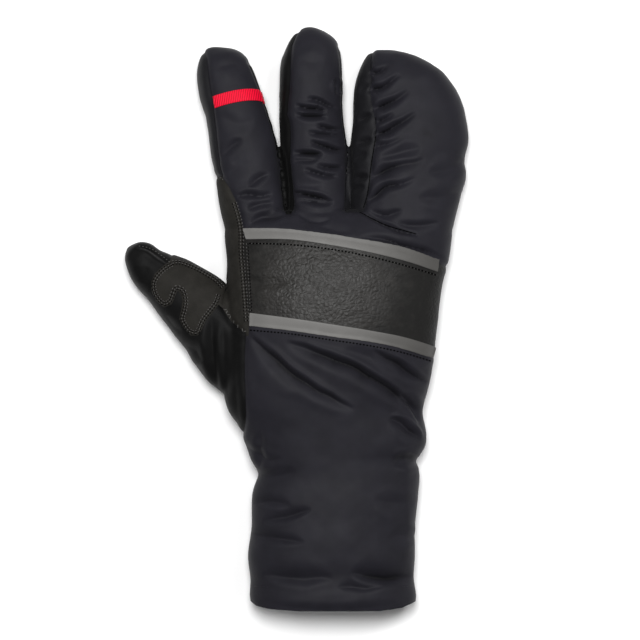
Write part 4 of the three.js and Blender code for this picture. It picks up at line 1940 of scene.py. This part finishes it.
@dataclass
class StitchRow:
    """A row of stitches, or some rows side by side, along a line on the panels.

    Attributes:
        path_px: the line, read off the photograph.
        length: of a stitch, in millimetres.
        gap: between two stitches, in millimetres.
        radius: of the thread, in millimetres.
        offsets: how far each row lies to the left of the line, in millimetres.
        phase: how far the stitches are shifted along the line, in shares of their pitch.
        sway: how far a stitch's ends lie to either side of its row, in millimetres.
    """

    path_px: tuple[Pixel, ...]
    length: float = 2.0
    gap: float = 1.0
    radius: float = 0.28
    offsets: tuple[float, ...] = (0.0,)
    phase: float = 0.0
    sway: float = 0.0

    def add_to(self, bm: bmesh.types.BMesh, ground: BVHTree) -> None:
        """Sews the rows.

        Args:
            bm: the mesh that gets the stitches.
            ground: the panels' surface.
        """
        path = evened(GRID.plan(self.path_px), 160)
        run = np.gradient(path, axis=0)
        left = np.stack([-run[:, 1], run[:, 0]], 1)
        left /= np.linalg.norm(left, axis=1)[:, None]
        total = np.linalg.norm(np.diff(path, axis=0), axis=1).sum() / MM
        pitch = self.length + self.gap
        count = max(1, int(total / pitch))
        half = self.length / pitch / 2
        for offset in self.offsets:
            for k in range(count):
                sway = self.sway * (1 if k % 2 else -1)
                middle = k + 0.5 + self.phase
                first = reading(path + left * (offset + sway) * MM, (middle - half) / count)
                last = reading(path + left * (offset - sway) * MM, (middle + half) / count)
                self._sew(bm, ground, first, last)

    def _sew(
        self, bm: bmesh.types.BMesh, ground: BVHTree, start: np.ndarray, end: np.ndarray
    ) -> None:
        """Sews one stitch between two places on the plan.

        Args:
            bm: the mesh that gets the stitch.
            ground: the panels' surface.
            start: where it starts, as x and y.
            end: where it ends, as x and y.
        """
        first, last = over(ground, start, 0.0), over(ground, end, 0.0)
        run = last - first
        if not 0.3 < run.length / (self.length * MM) < 2.2:
            return
        turn = run.to_track_quat("X", "Z").to_matrix().to_4x4()
        size = Matrix.Diagonal((run.length / 2, self.radius * MM, self.radius * MM, 1))
        middle = over(ground, (start + end) / 2, 0.08)
        place = Matrix.Translation(middle) @ turn @ size
        bmesh.ops.create_uvsphere(bm, u_segments=6, v_segments=5, radius=1.0, matrix=place)


@dataclass
class Stitching:
    """All the rows that are sewn with one thread.

    Attributes:
        name: of the piece.
        slot: its material slot.
        rows: the rows.
    """

    name: str
    slot: Slot
    rows: tuple[StitchRow, ...]

    def build(self, ground: BVHTree, material: bpy.types.Material) -> bpy.types.Object:
        """Sews all the rows.

        Args:
            ground: the panels' surface.
            material: the thread's material.

        Returns:
            The finished piece.
        """
        bm = bmesh.new()
        for row in self.rows:
            row.add_to(bm, ground)
        piece = object_from(self.name, bm)
        for face in piece.data.polygons:
            face.use_smooth = True
        piece.data.materials.append(material)
        return finished(piece, self.slot)


WRAP_SEAM_PX: tuple[Pixel, ...] = (
    (236, 202),
    (240, 215),
    (243, 230),
    (243.5, 252),
    (245.5, 276),
    (247.5, 300),
    (249, 322),
)
WRAP_CORNER_PX: tuple[Pixel, ...] = ((224, 309), (232, 321), (240, 329), (246.5, 333))
PATCH_SEAM_PX: tuple[Pixel, ...] = (
    (173, 264),
    (165, 269),
    (158.5, 275.5),
    (154.5, 283),
    (155, 291),
    (159, 299),
    (165.5, 304),
    (171, 301),
    (173.5, 295),
    (177, 288),
    (182.5, 289.5),
    (186.5, 300),
    (185, 311),
    (183, 319),
    (186, 325.5),
    (192, 332),
    (198, 332.5),
    (200.5, 327),
    (204.5, 319),
    (211, 310.5),
    (217, 302),
    (219.5, 294),
)
BAND_END_PX: tuple[Pixel, ...] = ((248.5, 243), (249.5, 262), (251, 285), (252.5, 312))
UPPER_ROW_PX: tuple[Pixel, ...] = (
    (249, 244),
    (290, 245.5),
    (330, 250),
    (370, 257.5),
    (400, 265),
    (436, 275.5),
)
LOWER_ROW_PX: tuple[Pixel, ...] = (
    (250, 330),
    (290, 333.5),
    (330, 339.5),
    (370, 345.5),
    (400, 351.8),
    (431, 361),
)
THUMB_SEAM_PX: tuple[Pixel, ...] = ((138, 246), (149, 248), (162, 256), (171, 263))
THUMB_TOP_PX: tuple[Pixel, ...] = (
    (172, 263.5),
    (180, 263),
    (188, 265.5),
    (196, 269),
    (207, 275),
    (216, 281),
    (223, 288.5),
)
UPPER_TAPE_EDGES_PX: tuple[tuple[Pixel, ...], ...] = (
    ((243.5, 229), (280, 229.5), (320, 234), (360, 240), (400, 248), (438, 260)),
    ((247, 240), (290, 240.5), (330, 246), (370, 253.5), (405, 262), (436.5, 272)),
)
LOWER_TAPE_EDGES_PX: tuple[tuple[Pixel, ...], ...] = (
    ((251, 313), (290, 318), (330, 324), (370, 330.5), (405, 337.5), (435, 347)),
    ((250.5, 326), (290, 330.5), (330, 336.5), (370, 342), (405, 349.5), (432, 358)),
)
CLAW_SEAM_PX: tuple[Pixel, ...] = (
    (375.5, 118),
    (375.5, 136),
    (373, 152),
    (370.5, 168),
    (369, 182),
    (366.5, 198),
    (363, 209),
)
# The line of the deep crease above the band, where a black cord of thread is laid as painted
# shadow.
CREASE_SHADOW_PX: tuple[Pixel, ...] = ((359, 213), (367, 217), (386, 226), (406, 232), (416, 235))
CROTCH_PX: tuple[Pixel, ...] = ((285, 203), (287, 209), (290.5, 213.5), (294, 210))
BLACK_STITCHES_AND_SHADOW_CORD = Stitching(
    "black_stitches_and_shadow_cord",
    Slot.SOFTSHELL,
    (
        StitchRow(UPPER_ROW_PX, length=1.15, gap=0.55, radius=0.5),
        StitchRow(LOWER_ROW_PX, length=1.15, gap=0.55, radius=0.42),
        StitchRow(WRAP_SEAM_PX, length=1.1, gap=0.5, offsets=(-1.9, -0.35)),
        StitchRow(BAND_END_PX, length=1.1, gap=0.5, offsets=(0.0,)),
        StitchRow(PATCH_SEAM_PX, length=1.1, gap=0.5, offsets=(-0.75, 0.5)),
        StitchRow(THUMB_TOP_PX, length=1.1, gap=0.5, offsets=(-0.6, 0.6)),
        StitchRow(CROTCH_PX, length=1.2, gap=0.5),
        StitchRow(CLAW_SEAM_PX, length=2.8, gap=-0.9, radius=0.26),
        # Painted shadow: overlapping black stitches make a cord along the crease above the band.
        StitchRow(CREASE_SHADOW_PX, length=2.8, gap=-0.9, radius=0.3),
    ),
)
GREY_STITCHES_AND_GLINTS = Stitching(
    "tonal_stitches_and_painted_glints",
    Slot.PALM_LEATHER,
    (
        # Painted highlight: small grey dots between the black stitches of the band's upper row
        # stand in for the light that the row catches.
        StitchRow(UPPER_ROW_PX, length=0.45, gap=1.25, radius=0.16, phase=0.5),
        StitchRow(WRAP_SEAM_PX, length=0.9, gap=0.8, radius=0.24, offsets=(-1.15, 0.4)),
        StitchRow(BAND_END_PX, length=0.8, gap=0.9, radius=0.2, offsets=(-0.7,)),
        StitchRow(PATCH_SEAM_PX, length=0.8, gap=0.7, radius=0.22, offsets=(-0.15, 1.1)),
        StitchRow(THUMB_TOP_PX, length=0.8, gap=0.7, radius=0.2, offsets=(0.0, 1.1)),
        StitchRow(WRAP_CORNER_PX, length=1.2, gap=0.2, radius=0.24, offsets=(0.6,), sway=0.8),
        StitchRow(THUMB_SEAM_PX, length=0.9, gap=0.7, radius=0.2),
        StitchRow(((217, 180), (221, 178), (224, 181)), length=0.9, gap=0.5, radius=0.2),
    ),
)


@dataclass
class Studio:
    """The pale floor, the soft lights and the camera straight above the glove.

    Attributes:
        distance: of the camera from the floor, in metres.
        view_width: of the floor that it sees at the glove's height, in millimetres.
        glove_height: the height at which the view is that wide, in millimetres.
    """

    distance: float = 1.9
    view_width: float = 320.0
    glove_height: float = 14.0

    def build(self) -> None:
        """Sets the studio up."""
        self._floor()
        self._lights()
        self._camera()

    def _floor(self) -> None:
        """Lays the floor."""
        bm = bmesh.new()
        bmesh.ops.create_grid(bm, x_segments=1, y_segments=1, size=3.0)
        bmesh.ops.translate(bm, verts=bm.verts, vec=Vector((0, 0, -0.3 * MM)))
        floor = object_from("floor", bm)
        shader = Shader("pale_floor", (0.94, 0.94, 0.94), 0.9)
        shader.tint(shader.noise(300.0, 2.0), (0.93, 0.93, 0.93), (0.95, 0.95, 0.95))
        floor.data.materials.append(shader.material)

    def _lights(self) -> None:
        """Hangs the soft lights."""
        world = bpy.context.scene.world or bpy.data.worlds.new("studio")
        bpy.context.scene.world = world
        world.use_nodes = True
        sky = world.node_tree.nodes["Background"]
        sky.inputs["Color"].default_value = (1, 1, 1, 1)
        sky.inputs["Strength"].default_value = 0.1
        self._softbox("top", (-0.05, 0.32, 1.6), 0.6, 26.0)
        self._softbox("key", (0.7, 0.6, 1.1), 0.5, 6.0)
        self._softbox("side", (1.15, -0.25, 0.7), 0.6, 3.0)
        self._softbox("fill", (-1.0, 0.2, 0.9), 0.7, 2.5)

    def _softbox(
        self, name: str, place: tuple[float, float, float], size: float, power: float
    ) -> None:
        """Hangs one soft light that faces the glove.

        Args:
            name: of the light.
            place: where it hangs, in metres.
            size: of its face, in metres.
            power: in watts.
        """
        light = bpy.data.lights.new(name, "AREA")
        light.shape = "DISK"
        light.size = size
        light.energy = power
        lamp = bpy.data.objects.new(name, light)
        bpy.context.scene.collection.objects.link(lamp)
        lamp.location = place
        lamp.rotation_euler = (-Vector(place)).to_track_quat("-Z", "Y").to_euler()

    def _camera(self) -> None:
        """Hangs the camera over the photograph's middle."""
        data = bpy.data.cameras.new("camera")
        reach = self.distance - self.glove_height * MM
        data.lens = data.sensor_width * reach / (self.view_width * MM)
        camera = bpy.data.objects.new("camera", data)
        bpy.context.scene.collection.objects.link(camera)
        centre = GRID.plan([(320, 320)])[0]
        camera.location = (centre[0], centre[1], self.distance)
        bpy.context.scene.camera = camera


def ground_of(pieces: list[bpy.types.Object]) -> BVHTree:
    """Builds a search tree of the panels' surfaces, so that trims can lie on them.

    Args:
        pieces: the panels.

    Returns:
        The tree.
    """
    graph = bpy.context.evaluated_depsgraph_get()
    graph.update()
    bm = bmesh.new()
    for piece in pieces:
        bm.from_mesh(piece.data)
    tree = BVHTree.FromBMesh(bm)
    bm.free()
    return tree


@dataclass
class Glove:
    """The whole glove.

    Attributes:
        skin: the closed skin that the panels are cut from.
        pieces: the finished pieces.
    """

    skin: GloveSkin = field(default_factory=GloveSkin)
    pieces: list[bpy.types.Object] = field(default_factory=list)

    def build(self) -> None:
        """Builds every piece and reports it."""
        panels = self._cut_panels()
        ground = ground_of(panels)
        self._sew_trims(ground)
        for piece in self.pieces:
            LOG.info("%s: %d faces", piece.name, len(piece.data.polygons))

    def _cut_panels(self) -> list[bpy.types.Object]:
        """Cuts the skin into panels and dresses them.

        Returns:
            The finished panels.
        """
        cutter = PatternCutter(self.skin.build())
        discard(cutter.take("mouth", MOUTH))
        hem = [cutter.take("hem", HEM)]
        thumb = [cutter.take("thumb", GUSSET)]
        patch = [cutter.layer("patch", thumb[0], PATCH)]
        palm = [cutter.take("sole", PALM_SOLE), cutter.take("wrap", PALM_WRAP)]
        index_side = [cutter.take("index_strip", INDEX_SIDE)]
        middle_side = [cutter.take("middle_strip", MIDDLE_SIDE)]
        middle_side.append(cutter.take("middle_low", MIDDLE_LOW))
        claw_side = [cutter.take("claw_strip", CLAW_SIDE), cutter.take("claw_low", CLAW_LOW)]
        band = [cutter.take("band", BAND)]
        cuff = [cutter.take("cuff", CUFF)]
        softshell, stretch, strip = (cloth.material() for cloth in (SOFTSHELL, STRETCH, STRIP))
        palm_leather, band_leather = PALM_LEATHER.material(), BAND_LEATHER.material()
        fleece = FleeceFinish().material()
        plan = (
            (SewnPanel("cuff_hem", Slot.SOFTSHELL, tuck=0.3, flush=HEM), hem, softshell),
            (
                SewnPanel("thumb_patch", Slot.PALM_LEATHER, 0.5, 0.5, 0.0, 0.9, lift=0.6),
                patch,
                palm_leather,
            ),
            (SewnPanel("thumb_sleeve", Slot.STRETCH), thumb, stretch),
            (SewnPanel("palm_panel", Slot.PALM_LEATHER, keep=0.75), palm, palm_leather),
            (SewnPanel("index_side", Slot.STRETCH, tuck=0.6), index_side, strip),
            # Painted shade: the middle side strip takes the darker stretch finish, where the index
            # and claw sides take the lighter strip finish.
            (SewnPanel("middle_side", Slot.STRETCH, tuck=0.6), middle_side, stretch),
            (SewnPanel("claw_side", Slot.STRETCH, tuck=0.5, pucker=0.1), claw_side, strip),
            (SewnPanel("knuckle_band", Slot.BAND_LEATHER, 0.5, 1.0, 0.1), band, band_leather),
            (SewnPanel("gauntlet", Slot.SOFTSHELL, tuck=0.6, flush=HEM), cuff, softshell),
            (SewnPanel("finger_back", Slot.SOFTSHELL), [cutter.rest], softshell),
        )
        panels = []
        for panel, pieces, outside in plan:
            panels.append(panel.dress(cutter.sheet(pieces), outside, fleece))
        self.pieces += panels
        return panels

    def _sew_trims(self, ground: BVHTree) -> None:
        """Lays the tapes and the pull tab, and sews the stitches.

        Args:
            ground: the panels' surface.
        """
        film = TapeFinish().material()
        upper = SurfaceTrim(
            "upper_tape_film",
            "upper_tape",
            Slot.TAPE,
            *UPPER_TAPE_EDGES_PX,
        )
        lower = SurfaceTrim(
            "lower_tape_film",
            "lower_tape",
            Slot.TAPE,
            *LOWER_TAPE_EDGES_PX,
        )
        self.pieces += [upper.build(ground, film), lower.build(ground, film)]
        self.pieces.append(FingerLoop().build(ground, WebbingFinish().material()))
        for stitching, thread in (
            (BLACK_STITCHES_AND_SHADOW_CORD, BLACK_THREAD),
            (GREY_STITCHES_AND_GLINTS, GREY_THREAD),
        ):
            self.pieces.append(stitching.build(ground, thread.material()))


def main() -> None:
    """Builds the glove and its studio."""
    logging.basicConfig(level=logging.INFO, format="%(name)s: %(message)s")
    bpy.context.scene.view_settings.view_transform = "Standard"
    Glove().build()
    Studio().build()


if __name__ == "__main__":
    main()
